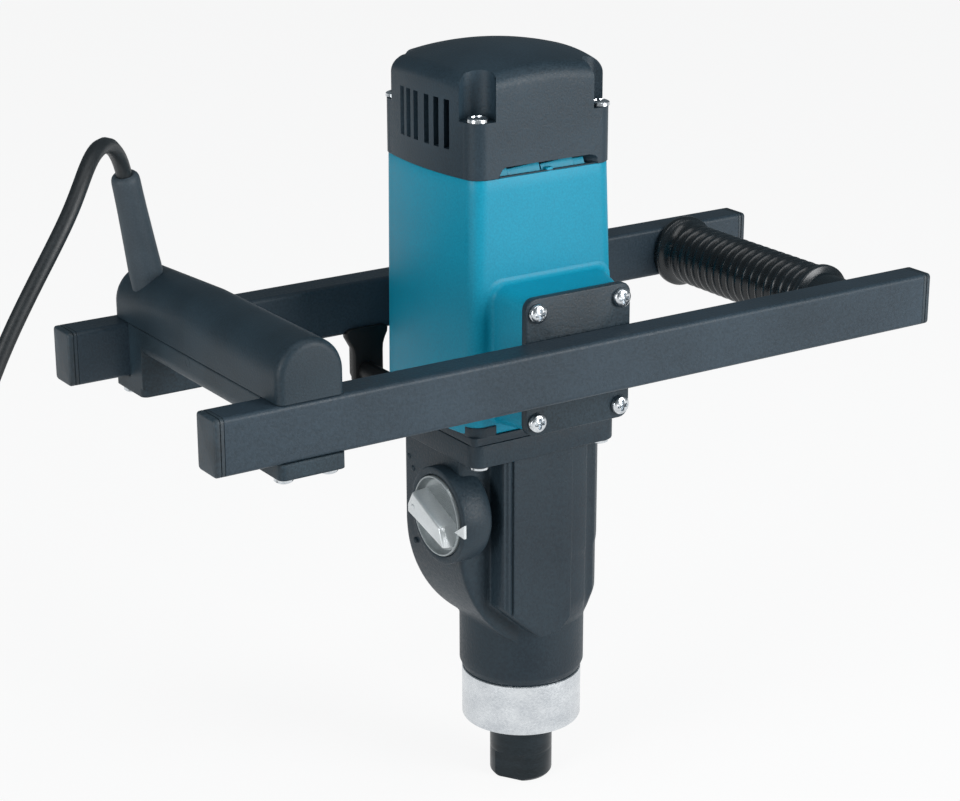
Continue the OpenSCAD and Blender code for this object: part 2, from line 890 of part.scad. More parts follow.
module spindle()
{
    color("#b4b8ba") difference() {
        union() {
            rod(spindle_r, 0, bearing_z - seat);
            rod(journal_r, bearing_z - 1, bearing_z + bearing_h + 1);
            rod(10.5, bearing_z + bearing_h, z_floor - 2);
            splines(z_floor - 3, z_bracket - 1, 0);
            rod(top_journal_r, z_bracket - 2, spindle_top - 0.2);
        }
        rod(thread_core_d / 2, -e, thread_depth);
        rotate([0, 0, 32]) for (side = [-1, 1])
            translate([side * (12.9 + 5), 0, 7.75]) cube([10, 40, 12.5], center = true);
    }
}

module gear_block()
{
    z0 = z_floor + 4;
    color("#9ba1a6") difference() {
        union() {
            rod(12.5, z0, z0 + 2);
            rod(9.9, z0, z0 + 8);
            rod(12.5, z0 + 5.6, z0 + 8.2);
            gear(z_low, m_block, 0, z0 + 8, z0 + 15);
            gear(z_high, m_block, 0, z0 + 15, z0 + 22, 180 / z_high);
        }
        splines(z0 - e, z0 + 23, 0.1);
    }
}

module shift_fork()
{
    arm_x0 = case_mid_left - 1.5;
    z0 = z_floor + 6.3;
    pin_low = z_knob - pin_throw;
    color("#a08a4a") {
        difference() {
            rod(15, z0, z0 + 3);
            rod(10.2, z0 - e, z0 + 3 + e);
            box(-20, 20, -5, 20, z0 - e, z0 + 3 + e);
        }
        box(arm_x0, -6, -15, -12, z0, z0 + 3);
        box(arm_x0, arm_x0 + 6, -19, -12, z0, z0 + 3);
        box(arm_x0, arm_x0 + 3, -19, -12, z0, pin_low - 4.5);
        difference() {
            box(arm_x0, arm_x0 + 3, -19.2, -4.4, pin_low - 5, pin_low + 5.4);
            box(arm_x0 - e, arm_x0 + 3 + e, -16.4, -7.1, pin_low - 3.1, pin_low + 3.1);
        }
    }
}

module gear_knob()
{
    color("#b5b8b8") {
        difference() {
            rod_x(knob_r, knob_out, knob_out + 4.4, knob_y, z_knob);
            rod_x(knob_r - 2.4, knob_out - e, knob_out + knob_dish, knob_y, z_knob);
        }
        translate([knob_out - knob_rise, knob_y, z_knob]) rotate([bar_angle, 0, 0])
            translate([0, -14.5, -4.5]) cube([knob_rise + knob_dish + e, 31, 9]);
        rod_x(stem_r, knob_out + 4, case_left + 5, knob_y, z_knob);
        rod_x(pin_r, case_left + 4, case_mid_left + 3, knob_y, z_knob - pin_throw);
    }
}

// Frame and grips

module side_bar()
{
    x0 = bar_x0 + cap_t;
    x1 = bar_x1 - cap_t;
    difference() {
        along_x(x0, x1) difference() {
            round_rect(bar_in, bar_out, bar_bottom, bar_top, 2);
            round_rect(bar_in + bar_wall, bar_out - bar_wall,
                bar_bottom + bar_wall, bar_top - bar_wall, 1);
        }
        for (x = [-10.5, 10.5]) rod(2.1, bar_bottom - e, bar_top + e, handle_x + x, bar_out - 7);
    }
}

module near_bar()
{
    color("#262d33") mirror([0, 1, 0]) side_bar();
}

module far_bar()
{
    color("#262d33") difference() {
        side_bar();
        rod(feed_r + 1, bar_top - bar_wall - e, bar_top + e, feed_x, feed_y);
        rod(feed_r + 1, bar_bottom - e, bar_bottom + bar_wall + e, duct_x, feed_y);
    }
}

module bar_end_caps()
{
    color("#262d33") both_sides() {
        along_x(bar_x0, bar_x0 + cap_t) round_rect(bar_in, bar_out, bar_bottom, bar_top, 2);
        along_x(bar_x1 - cap_t, bar_x1) round_rect(bar_in, bar_out, bar_bottom, bar_top, 2);
        for (x = [bar_x0 + cap_t - e, bar_x1 - cap_t - 10])
            along_x(x, x + 10 + e)
                round_rect(bar_in + bar_wall + seat, bar_out - bar_wall - seat,
                    bar_bottom + bar_wall + seat, bar_top - bar_wall - seat, 1);
    }
}

module side_plate(cx)
{
    difference() {
        along_y(pad_face, bar_in)
            round_rect(cx - plate_w / 2, cx + plate_w / 2,
                bar_z - plate_h / 2, bar_z + plate_h / 2, 5);
        for (x = [-1, 1], z = [-1, 1])
            rod_y(2.5, pad_face - e, bar_in + e, cx + x * plate_screw_x, bar_z + z * plate_screw_z);
    }
}

module near_plate()
{
    color("#262d33") mirror([0, 1, 0]) side_plate(plate_x);
}

module far_plate()
{
    color("#262d33") side_plate(far_plate_x);
}

module bracket_screws()
{
    color("#c9ccce") at_plates() for (x = [-1, 1], z = [-1, 1]) {
        sx = x * plate_screw_x;
        sz = bar_z + z * plate_screw_z;
        rod_y(4.4, bar_in, bar_in + 3.2, sx, sz);
        rod_y(2.4, pad_face - 13, bar_in + e, sx, sz);
    }
}

module grip_tube()
{
    color("#262d33") difference() {
        rod_y(grip_tube_r, -bar_in, bar_in, grip_x, grip_z);
        rod_y(grip_tube_r - 2, -bar_in - e, bar_in + e, grip_x, grip_z);
    }
}

module ribbed_grip()
{
    half = bar_in - gap;
    ribs = 17;
    flange_r = grip_d / 2 + 2.5;
    root_r = grip_d / 2 - 2;
    first = -(ribs - 1) / 2 * rib_pitch;
    outline = concat(
        [[grip_tube_r + seat, -half], [flange_r, -half], [flange_r, -half + 3], [root_r, -half + 4.5]],
        [for (k = [0:ribs - 1], s = [[-1, 0], [-0.62, 1], [0.62, 1], [1, 0]])
            [root_r + 2 * s[1], first + rib_pitch * (k + 0.42 * s[0])]],
        [[root_r, half - 4.5], [flange_r, half - 3], [flange_r, half], [grip_tube_r + seat, half]]
    );
    color("#1c2023") translate([grip_x, 0, grip_z]) rotate([90, 0, 0])
        rotate_extrude() polygon(outline);
}

// Section of the upper shell: straight sides under a round arch
module arch(inset)
{
    translate([handle_x - handle_half + inset, bar_top])
        square([handle_w - 2 * inset, arch_z - bar_top]);
    translate([handle_x, arch_z]) circle(r = handle_half - inset);
}

// The handle's arch along Y, which dips towards the far bar
module dipped_arch(end, inset)
{
    along_y(-end, dip_y) arch(inset);
    hull() {
        along_y(dip_y - e, dip_y) arch(inset);
        along_y(end - e, end) translate([0, -dip]) arch(inset);
    }
}

module handle_upper_shell()
{
    color("#2b343b") difference() {
        union() {
            difference() {
                dipped_arch(bar_out, 0);
                dipped_arch(bar_out - 4.5, shell_wall);
                box(handle_x - 40, handle_x + 40, -bar_out - e, bar_out + e, bar_top - 30, bar_top);
            }
            for (x = [-10.5, 10.5], y = [-1, 1])
                rod(4.2, bar_top, arch_z + 2, handle_x + x, y * (bar_out - 7));
        }
        for (x = [-10.5, 10.5], y = [-1, 1])
            rod(2.1, bar_top - e, bar_top + 9, handle_x + x, y * (bar_out - 7));
        rod_x(4.1, handle_x + 5, handle_x + handle_w, button_y, button_z);
        translate(guard_base - 12 * guard_dir) rotate([0, acos(guard_dir.z), atan2(guard_dir.y, guard_dir.x)])
            cylinder(r = guard_r0 + seat, h = 40);
    }
}

module handle_lower_shell()
{
    x0 = handle_x - handle_half;
    x1 = handle_x + handle_half;
    color("#2b343b") difference() {
        union() {
            along_y(-block_in - e, block_in + e) {
                round_rect(x0, x1, shell_bottom, bar_top, 6);
                translate([x0, bar_top - 6]) square([handle_w, 6]);
            }
            both_sides() {
                box(x0, x1, block_in, bar_in, sole_z + 4, bar_top);
                slab(x0, x1, block_in, bar_out, sole_z, bar_bottom, 3);
            }
        }
        box(x0 + shell_wall, x1 - shell_wall, -block_in, block_in, shell_bottom + shell_wall, bar_top + e);
        box(trigger_x0 - gap, trigger_x0 + trigger_w + gap, trigger_y - 53, trigger_y + 4,
            shell_bottom - e, shell_bottom + shell_wall + e);
        for (x = [-10.5, 10.5], y = [-1, 1])
            rod(2.1, sole_z - e, bar_bottom + e, handle_x + x, y * (bar_out - 7));
        rod_x(1.5 + seat, x0 + 1, x1 - 1, trigger_y, trigger_z);
    }
}

module handle_screws()
{
    color("#c9ccce") for (x = [-10.5, 10.5], y = [-1, 1]) {
        rod(3.75, sole_z - 3.2, sole_z, handle_x + x, y * (bar_out - 7));
        rod(2.05, sole_z - e, bar_top + 8.5, handle_x + x, y * (bar_out - 7));
    }
}

module switch_body()
{
    x0 = handle_x - handle_half + shell_wall;
    color("#3a4046") box(x0, x0 + 20.5, trigger_y - 50, trigger_y - 4, trigger_z + 6, arch_z);
}

module trigger()
{
    x1 = trigger_x0 + trigger_w;
    color("#20262b") difference() {
        union() {
            box(trigger_x0, x1, trigger_y - 50, trigger_y - 1, shell_bottom - 4, shell_bottom + 1);
            box(trigger_x0, x1, trigger_y - 3, trigger_y + 3, shell_bottom, trigger_z);
            rod_x(3, trigger_x0, x1, trigger_y, trigger_z);
        }
        rod_x(1.5 + run, trigger_x0 - e, x1 + e, trigger_y, trigger_z);
    }
}

module trigger_pin()
{
    color("#a9aeb2")
        rod_x(1.5, handle_x - handle_half + 1.2, handle_x + handle_half - 1.2, trigger_y, trigger_z);
}

module lock_button()
{
    x1 = handle_x + handle_half;
    color("#20262b") {
        rod_x(4, x1 - 5, x1 + 2.5, button_y, button_z);
        rod_x(5, x1 - 5.2, x1 - shell_wall - gap, button_y, button_z);
    }
}

// Cable and cord

module cable_duct()
{
    x0 = duct_x - duct_w / 2;
    x1 = duct_x + duct_w / 2;
    y0 = bar_in - 2;
    y1 = bar_out - 0.5;
    bore = feed_r + 1;
    level = z_motor + 5;
    color("#22272b") difference() {
        union() {
            along_y(bar_in + gap, y1) polygon([
                [x0 - 1.5, bar_bottom], [x1 + 5.5, bar_bottom], [x1 + 5.5, bar_bottom - 5],
                [x1, bar_bottom - 11], [x1, z_motor], [x0, z_motor],
                [x0, bar_bottom - 10], [x0 - 1.5, bar_bottom - 8]
            ]);
            box(x0 - 1.5, x1, y0, bar_in - seat, bar_bottom - 8, bar_bottom + 9);
            box(x0 - 1.5, x1, y0, bar_in + e, bar_bottom - 8, bar_bottom);
            box(x0, x1, y0, bar_in + e, z_motor, bar_bottom - 7);
            rod_y(4.5, flange_d / 2 + seat, y0 + 1, duct_x, level);
        }
        rod(bore, level - bore, bar_bottom + e, duct_x, feed_y);
        rod_y(bore, flange_d / 2 - e, feed_y + bore, duct_x, level);
    }
}

module inner_cable()
{
    level = bar_top + 4;
    color("#2a2a2a") {
        rod_y(feed_r, flange_d / 2 + 0.5, feed_y, duct_x, z_motor + 5);
        rod(feed_r, z_motor + 5, bar_z, duct_x, feed_y);
        rod_x(feed_r, feed_x, duct_x, feed_y, bar_z);
        rod(feed_r, bar_z, level, feed_x, feed_y);
        rod_y(feed_r, trigger_y - 4, feed_y, feed_x, level);
        for (p = [[duct_x, feed_y, z_motor + 5], [duct_x, feed_y, bar_z],
                  [feed_x, feed_y, bar_z], [feed_x, feed_y, level]])
            translate(p) sphere(r = feed_r);
    }
}

module cord_guard()
{
    len_out = norm(guard_top - guard_base);
    color("#2b343b") translate(guard_base - 10 * guard_dir)
        rotate([0, acos(guard_dir.z), atan2(guard_dir.y, guard_dir.x)]) difference() {
            union() {
                cylinder(r = guard_r0, h = 14);
                translate([0, 0, 14]) cylinder(r1 = guard_r0, r2 = guard_r1, h = len_out - 6);
                translate([0, 0, len_out + 8]) cylinder(r1 = guard_r1, r2 = guard_r1 - 1.2, h = 2);
            }
            translate([0, 0, -e]) cylinder(r = cord_d / 2 + seat, h = len_out + 12);
        }
}

module cord_lead()
{
    color("#20262b") sweep(lead_points, cord_d / 2, 8, function (p) [0.6, -0.8, 0]);
}

module cord_coil()
{
    color("#20262b") sweep(coil_points, cord_d / 2, 6, function (p) [0, 0, 1]);
}

module cord_tail()
{
    color("#20262b") sweep(tail_points, cord_d / 2, 8, function (p) [0, 0, 1]);
}

module coil_tie()
{
    half_w = coil_pitch / 2 + cord_d / 2 + 0.5;
    low = 1.1;
    high = coil_top_z + cord_d / 2 + 0.4;
    color("#3a3f43") translate([coil_x - coil_r, coil_y, 0]) along_y(-4, 4) difference() {
        round_rect(-half_w - low, half_w + low, 0, high + low, 3);
        round_rect(-half_w, half_w, low, high, 2);
    }
}

module plug_body()
{
    y0 = relief_y + relief_len;
    color("#20262b") difference() {
        union() {
            translate([coil_end_x, y0, plug_z]) rotate([90, 0, 0])
                cylinder(r1 = 6.5, r2 = 5, h = relief_len - seat);
            hull() {
                along_y(y0 - e, y0 + 2)
                    round_rect(coil_end_x - 9, coil_end_x + 9, 1.5, plug_t - 1.5, 6, $fn = 32);
                along_y(y0 + 14, y0 + plug_len)
                    round_rect(coil_end_x - plug_w / 2, coil_end_x + plug_w / 2, 0, plug_t, 6, $fn = 32);
            }
        }
        for (x = [-9.5, 9.5])
            rod_y(2.4 + seat, y0 + plug_len - 8, y0 + plug_len + e, coil_end_x + x, plug_z);
    }
}

module plug_pins()
{
    y1 = relief_y + relief_len + plug_len;
    color("#c0a860") for (x = [-9.5, 9.5])
        rod_y(2.4, y1 - 8, y1 + 19, coil_end_x + x, plug_z);
}

rear_cover();
cover_screws();
motor_housing();
field_core();
field_coils();
brush_plate();
carbon_brushes();
upper_bearing();
lower_bearing();
air_baffle();
bearing_flange();
gear_housing();
housing_screws();
inner_bracket();
shaft_bearings();
spindle_bearings();
spindle_collar();
oil_seal();
near_bar();
far_bar();
bar_end_caps();
near_plate();
far_plate();
bracket_screws();
grip_tube();
ribbed_grip();
handle_upper_shell();
handle_lower_shell();
handle_screws();
switch_body();
cable_duct();
inner_cable();
cord_guard();
cord_lead();
cord_coil();
cord_tail();
coil_tie();
plug_body();
plug_pins();
armature_shaft();
armature_core();
armature_windings();
commutator();
fan();
first_shaft();
first_gear();
second_shaft();
second_gear();
spindle();
gear_block();
shift_fork();
gear_knob();
trigger();
trigger_pin();
lock_button();
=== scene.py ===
import bpy
import numpy as np
from mathutils import Matrix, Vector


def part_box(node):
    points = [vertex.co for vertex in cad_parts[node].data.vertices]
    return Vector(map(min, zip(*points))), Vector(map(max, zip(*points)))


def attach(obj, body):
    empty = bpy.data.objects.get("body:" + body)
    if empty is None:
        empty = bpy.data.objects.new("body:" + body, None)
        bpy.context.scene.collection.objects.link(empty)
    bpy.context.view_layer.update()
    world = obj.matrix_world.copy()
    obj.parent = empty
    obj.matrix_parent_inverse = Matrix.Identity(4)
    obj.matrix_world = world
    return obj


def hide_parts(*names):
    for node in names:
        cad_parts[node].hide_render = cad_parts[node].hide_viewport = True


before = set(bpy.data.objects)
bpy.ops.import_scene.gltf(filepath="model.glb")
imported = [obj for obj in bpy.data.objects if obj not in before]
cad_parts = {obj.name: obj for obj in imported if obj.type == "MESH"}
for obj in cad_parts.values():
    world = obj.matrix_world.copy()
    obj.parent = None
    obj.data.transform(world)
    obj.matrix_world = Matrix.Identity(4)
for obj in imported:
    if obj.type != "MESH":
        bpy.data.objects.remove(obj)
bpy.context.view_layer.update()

# Camera. It stands to the left of the front and looks a little down on the drill,
# so both side bars run off to the right. 90 mm on a sensor 36 mm wide.
azimuth, elevation, roll = np.radians([-33.3405, 18.8521, -0.1128])
camera_at = [-0.6024, -0.8796, 0.5561]
focal_px, frame_px, sensor_mm = 2399.716, 960, 36.0
behind = np.array([np.sin(azimuth) * np.cos(elevation), -np.cos(azimuth) * np.cos(elevation),
                   np.sin(elevation)])
level = np.cross([0, 0, 1], behind)
level /= np.linalg.norm(level)
upright = np.cross(behind, level)
pose = np.eye(4)
pose[:3, 0] = np.cos(roll) * level + np.sin(roll) * upright
pose[:3, 1] = np.cos(roll) * upright - np.sin(roll) * level
pose[:3, 2] = behind
pose[:3, 3] = camera_at
view = bpy.data.cameras.new("view")
view.sensor_fit, view.sensor_width, view.lens = "HORIZONTAL", sensor_mm, focal_px / frame_px * sensor_mm
camera = bpy.data.objects.new("view", view)
bpy.context.scene.collection.objects.link(camera)
camera.matrix_world = Matrix(pose.tolist())
bpy.context.scene.camera = camera
bpy.context.scene.view_settings.view_transform = "Standard"


# Mains cord. A flexible cable of 7 mm in a rubber sheath, which leaves the handle
# through its guard, bends over and hangs to the floor, where it is wound into a
# coil of four layers with two turns each. It ends in its plug.
def span(node):
    """The low and the high corner of a node of the frame in millimetres."""
    return 1000 * np.array(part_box(node))


cord_r, half_handle, plug_z = 3.5, 15.5, 8.5
handle_low, handle_high = span("handle_upper_shell")
handle_x, arch_z = (handle_low[0] + handle_high[0]) / 2, handle_high[2] - half_handle
guard_base = np.array([handle_x - 8.1, 56, arch_z + 13.2])
guard_top = np.array([handle_x - 19.5, 48, arch_z + 59])
guard_way = (guard_top - guard_base) / np.linalg.norm(guard_top - guard_base)
inside = guard_base + np.array([[-8], [14], [30]]) * guard_way
# The arch over the guard and the way down from it, from the middle of the handle.
over = np.array([
    [-23, 44.5, 68], [-28, 39.5, 74.5], [-33.5, 34, 78], [-39.5, 28, 79], [-45.5, 22.5, 77],
    [-51, 17.5, 72.5], [-56.5, 13, 66], [-63, 9, 57.5], [-71.5, 6, 46.5], [-83.5, 3.5, 30.5],
    [-95.5, 2, 12.5], [-106.5, 1, -7.5], [-115.5, 0, -29.5], [-122.5, -1, -52.5],
    [-126.5, -1.5, -76.5]]) + [handle_x, 0, arch_z]
# The coil. Each layer steps in or out by one pitch a turn, and the cord climbs from a layer to the
# next within ramp_turns to either side of the place where they meet.
layers, layer_turns, turn_points, ramp_turns = 4, 2, 24, 0.25
coil_centre, coil_r, coil_pitch, coil_low = np.array([handle_x - 174.5, 42]), 38.75, 7.5, 5.0
turns = np.arange(layers * layer_turns * turn_points, -1, -1) / turn_points
layer = np.floor(turns / layer_turns)
in_layer = turns - layer_turns * layer
spiral_r = coil_r + coil_pitch * np.where(layer % 2 == 0, 1 - in_layer, in_layer - 1)
meeting = np.floor(turns / layer_turns + 0.5)
ramp = (turns - layer_turns * meeting) / ramp_turns
stays = (meeting < 1) | (meeting > layers - 1) | (abs(ramp) > 1)
climb = np.where(stays, np.minimum(layer, layers - 1), meeting - 0.5 + ramp / 2)
coil = np.stack([coil_centre[0] + spiral_r * np.cos(2 * np.pi * turns),
                 coil_centre[1] - spiral_r * np.sin(2 * np.pi * turns), coil_low + coil_pitch * climb], -1)
# The drop on to the coil and the run from it to the plug, both in the plane x = coil_x.
coil_x = coil_centre[0] + coil_r + coil_pitch
down = np.insert([[-2, 158], [-2, 138], [-2, 118], [-2, 98], [-2, 78], [-2, 60], [-0.5, 49.5], [4, 40],
                  [11, 32.5], [20, 28.2], [28, 27.5], [35, 27.5]], 0, coil_x, axis=1)
to_plug = np.insert([[49, 5], [57, 5], [64, 5.6], [72, 7.9], [83, plug_z], [91, plug_z]], 0, coil_x, axis=1)
route = np.vstack([inside, guard_top, over, down, coil, to_plug]) / 1000


def srgb(code):
    """A hex colour as linear red, green and blue with alpha 1. A channel c is c / 12.92 up to
    0.04045, and ((c + 0.055) / 1.055) to the power 2.4 above that."""
    c = np.array([int(code[k:k + 2], 16) for k in (1, 3, 5)]) / 255
    return [*np.where(c < 0.04045, c / 12.92, ((c + 0.055) / 1.055) ** 2.4).tolist(), 1.0]


def add(tree, kind, settings=(), inputs=()):
    """Adds a shader node. settings are its own properties, and inputs are the values of its
    sockets, or the sockets that are linked into them."""
    node = tree.nodes.new("ShaderNode" + kind)
    for key, value in dict(settings).items():
        setattr(node, key, value)
    for key, value in dict(inputs).items():
        if isinstance(value, bpy.types.NodeSocket):
            tree.links.new(value, node.inputs[key])
        else:
            node.inputs[key].default_value = value
    return node


def finish(name, dark, light, roughness, patch, grain, height, metallic=0.0, swing=0.05, edge=0.0,
           stretch=(1, 1, 1), gleam=0.5):
    """A surface in two close colours. They mix by the mean of a broad noise of patch millimetres and a
    fine one of grain millimetres. The fine one also swings the roughness by swing either way and
    stands height millimetres out of the surface. edge rounds the shading of sharp edges by that many
    millimetres, stretch scales the pattern along each axis, and gleam is the specular level."""
    material = bpy.data.materials.new(name)
    material.use_nodes = True
    tree = material.node_tree
    tree.nodes.clear()
    place = add(tree, "TexCoord").outputs["Object"]
    place = add(tree, "Mapping", {}, {"Vector": place, "Scale": stretch}).outputs["Vector"]
    broad = add(tree, "TexNoise", {}, {"Vector": place, "Scale": 1000 / patch, "Detail": 3.0})
    fine = add(tree, "TexNoise", {}, {"Vector": place, "Scale": 1000 / grain, "Detail": 2.0})
    both = add(tree, "Math", {"operation": "ADD"}, {0: broad.outputs["Fac"], 1: fine.outputs["Fac"]})
    share = add(tree, "MapRange", {}, {"Value": both.outputs[0], "From Min": 0.7, "From Max": 1.3})
    colour = add(tree, "Mix", {"data_type": "RGBA"}, {0: share.outputs[0], 6: srgb(dark), 7: srgb(light)})
    rough = add(tree, "MapRange", {}, {"Value": fine.outputs["Fac"], "From Min": 0.3, "From Max": 0.7,
                                       "To Min": roughness - swing, "To Max": roughness + swing})
    bump = add(tree, "Bump", {}, {"Height": fine.outputs["Fac"], "Distance": height / 1000})
    if edge:
        soft = add(tree, "Bevel", {"samples": 4}, {"Radius": edge / 1000})
        tree.links.new(soft.outputs["Normal"], bump.inputs["Normal"])
    shader = add(tree, "BsdfPrincipled", {}, {
        "Base Color": colour.outputs[2], "Roughness": rough.outputs[0], "Normal": bump.outputs[0],
        "Metallic": metallic, "IOR": 1.5, "Specular IOR Level": gleam})
    add(tree, "OutputMaterial", {}, {"Surface": shader.outputs[0]})
    return material


# Extruded rubber sheath: dull black with a faint grain, so it shines softly.
sheath = finish("extruded_rubber_sheath", "#0F1417", "#1B2226", 0.48, 40, 1.2, 0.02)
line = bpy.data.curves.new("mains_cord", "CURVE")
line.dimensions, line.bevel_depth, line.bevel_resolution, line.resolution_u = "3D", cord_r / 1000, 3, 3
line.use_fill_caps = True
spline = line.splines.new("NURBS")
spline.points.add(len(route) - 1)
spline.points.foreach_set("co", np.hstack([route, np.ones((len(route), 1))]).ravel())
spline.order_u, spline.use_endpoint_u = 3, True
line.materials.append(sheath)
cord = bpy.data.objects.new("mains_cord", line)
bpy.context.scene.collection.objects.link(cord)
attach(cord, "body")
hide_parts("cord_lead", "cord_coil", "cord_tail")


# Plug. Two round pins in a moulded rubber body, which is lofted from the round of
# its own short relief to a flat grip with rounded edges.
def rounded(x0, x1, y0, y1, r, steps=6):
    """A rounded rectangle as points: a quarter circle of radius r round each of the four inset
    corners, counter-clockwise from the corner x1, y1. r is one radius or four."""
    turn = np.radians(np.linspace(0, 90, steps) + 90 * np.arange(4)[:, None])
    r = np.broadcast_to(np.asarray(r, float), 4)[:, None]
    cx = np.array([[x1], [x0], [x0], [x1]]) + r * [[-1], [1], [1], [-1]]
    cy = np.array([[y1], [y1], [y0], [y0]]) + r * [[-1], [-1], [1], [1]]
    return np.stack([cx + r * np.cos(turn), cy + r * np.sin(turn)], -1).reshape(-1, 2)


def lay(outline, axis, at):
    """An outline's two coordinates on the two other axes, at that level of axis 0, 1 or 2."""
    return np.insert(outline, axis, at, axis=-1)


def skin(name, stacks, material, sharp=32, ring=False):
    """Closed skins. A stack is an array of rings by points by x, y and z in millimetres. Each point
    is joined to the next one of its ring and to its own in the next ring. A fan round the mean of
    the end ring closes either end, or with ring=True the last ring joins the first. Where the signed
    volume, the sum of a . (b x c) over the triangles, is negative, the faces are turned over. Edges
    sharper than sharp degrees stay crisp in the shading."""
    points, faces, base = [], [], 0
    for rings in stacks:
        n, m = rings.shape[:2]
        here = np.arange(m)
        there = np.roll(here, -1)
        row = np.arange(n if ring else n - 1)[:, None]
        low, high = row * m, (row + 1) % n * m
        quads = np.stack([low + here, low + there, high + there, high + here], -1).reshape(-1, 4)
        verts = rings.reshape(-1, 3)
        fans = np.zeros((0, 3), int)
        if not ring:
            verts = np.vstack([verts, rings[[0, -1]].mean(axis=1)])
            last = (n - 1) * m
            fans = np.vstack([np.stack([there, here, np.full(m, n * m)], -1),
                              np.stack([last + here, last + there, np.full(m, n * m + 1)], -1)])
        a, b, c = verts[np.vstack([quads[:, :3], quads[:, [0, 2, 3]], fans])].transpose(1, 0, 2)
        way = -1 if np.sum(a * np.cross(b, c)) < 0 else 1
        points.append(verts)
        faces += (quads[:, ::way] + base).tolist() + (fans[:, ::way] + base).tolist()
        base += len(verts)
    mesh = bpy.data.meshes.new(name)
    mesh.from_pydata((np.vstack(points) / 1000).tolist(), [], faces)
    mesh.shade_smooth()
    mesh.set_sharp_from_angle(angle=np.radians(sharp))
    mesh.materials.append(material)
    piece = bpy.data.objects.new(name, mesh)
    bpy.context.scene.collection.objects.link(piece)
    return piece


def coat(material, *nodes):
    """Gives the material to nodes of the frame whose shapes stay as they are."""
    for node in nodes:
        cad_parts[node].material_slots[0].material = material


# Along the plug: the place, the width and the thickness of each outline.
plug_y, plug_w, plug_t = np.array([
    (91, 8.6, 8.6), (92, 10, 10), (94, 10.2, 10.2), (96, 11, 11), (98, 10.6, 10.6), (100, 11.6, 11.6),
    (102, 11.2, 11.2), (104, 12.6, 12.6), (106, 18, 14), (109, 22, 15), (113, 27, 16), (119, 33, 16.6),
    (126, 35.5, 17), (134, 33.5, 16.4), (142, 36, 17), (148, 37, 17), (150.6, 36.6, 16.8), (151.6, 35.6, 16),
    (152, 34, 14.6)]).T
plug_r = np.minimum(plug_t / 2 - 0.01, np.interp(plug_y, [104, 119], [6.3, 5]))
plug_rings = np.array([lay(rounded(coil_x - w / 2, coil_x + w / 2, plug_z - t / 2, plug_z + t / 2, r), 1, y)
                       for y, w, t, r in zip(plug_y, plug_w, plug_t, plug_r)])
# Moulded rubber: dull, with a fine spark-eroded grain that breaks up the shine.
plug_rubber = finish("moulded_rubber", "#11161A", "#1F272C", 0.55, 30, 0.9, 0.05)
plug = skin("mains_plug", [plug_rings], plug_rubber, sharp=50)
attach(plug, "body")
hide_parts("plug_body")
# Nickel-plated brass: a warm silver, nearly a mirror.
coat(finish("nickel_plated_brass", "#B8B2A4", "#D2CDC0", 0.24, 12, 0.8, 0.004, metallic=1.0), "plug_pins")

# Coil tie. A woven strap with hooks and loops, closed round all the turns of the
# coil. Its band is carried round a rounded rectangle.
tie_x, tie_half, tie_low, tie_high, tie_round, strap_t = coil_centre[0] - coil_r, 8.4, 0.5, 31.95, 3, 0.55
tie_line = rounded(tie_x - tie_half, tie_x + tie_half, tie_low, tie_high, tie_round, steps=9)
tie_out = rounded(tie_x - tie_half - strap_t, tie_x + tie_half + strap_t, tie_low - strap_t,
                  tie_high + strap_t, tie_round + 0.5, steps=9) - tie_line
# The band's section: a place across the strap, and a share of the way out to its outer face.
band = np.array([[-3.9, -0.7], [-3.4, 0.9], [0, 1.0], [3.4, 0.9], [3.9, -0.7], [0, -0.9]])
band_out = 0.95 * band[:, 1]
tie_rings = np.stack([tie_line[:, 0, None] + tie_out[:, 0, None] * band_out,
                      coil_centre[1] + band[:, 0] + 0 * tie_line[:, :1],
                      tie_line[:, 1, None] + tie_out[:, 1, None] * band_out], -1)
# Woven polyamide: a dull dark band, with a coarse grain in place of its threads.
strap = finish("woven_polyamide", "#20262A", "#3A4247", 0.8, 20, 0.9, 0.12, stretch=(1, 1, 0.6))
tie = skin("coil_strap", [tie_rings], strap, ring=True, sharp=60)
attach(tie, "body")
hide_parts("coil_tie")


# Cord guard. A tapered sleeve of soft rubber, held in the handle's upper shell. It
# keeps the cord from kinking where it leaves.
def turned(profile, centre, way, sides=64):
    """A turned solid: each (distance along way, radius) of the profile is a circle round the line
    through centre along way."""
    along, radius = np.array(profile, float).T[:, :, None, None]
    way = np.array(way, float) / np.linalg.norm(way)
    u = np.cross(way, np.eye(3)[np.argmin(abs(way))])
    u /= np.linalg.norm(u)
    turn = np.linspace(0, 2 * np.pi, sides, endpoint=False)[:, None]
    round_it = np.cos(turn) * u + np.sin(turn) * np.cross(way, u)
    return np.array(centre, float) + along * way + radius * round_it


guard_profile = [(-9.5, 7.3), (2, 7.5), (4, 7.45), (9, 7.25), (16, 7.0), (24, 6.75), (32, 6.5), (40, 6.35),
                 (46, 6.3), (47.6, 6.15), (48.6, 5.8), (49.3, 5.2), (49.7, 4.4), (49.6, 3.5), (46, 3.3)]
# Soft rubber, moulded in a blasted tool: matt, a shade lighter than the handle.
guard_rubber = finish("blasted_soft_rubber", "#27323A", "#37444D", 0.62, 25, 0.8, 0.05)
guard = skin("cord_guard_sleeve", [turned(guard_profile, guard_base, guard_way, 48)], guard_rubber)
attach(guard, "body")
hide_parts("cord_guard")

# Switch handle, upper shell. A half-round cover of glass-filled nylon over both bars,
# moulded with a fine eroded grain. It dips towards the far end, where the cord leaves.
bar_low, bar_high = span("near_bar")
bar_top, bar_foot = bar_high[2], bar_low[2]
shell_foot, end_y, handle_wall = bar_top + 0.3, handle_high[1], 3
dip_h, dip_y, near_round, far_round, near_solid, far_solid = 3.5, 12, 3.5, 6, 4.6, 7


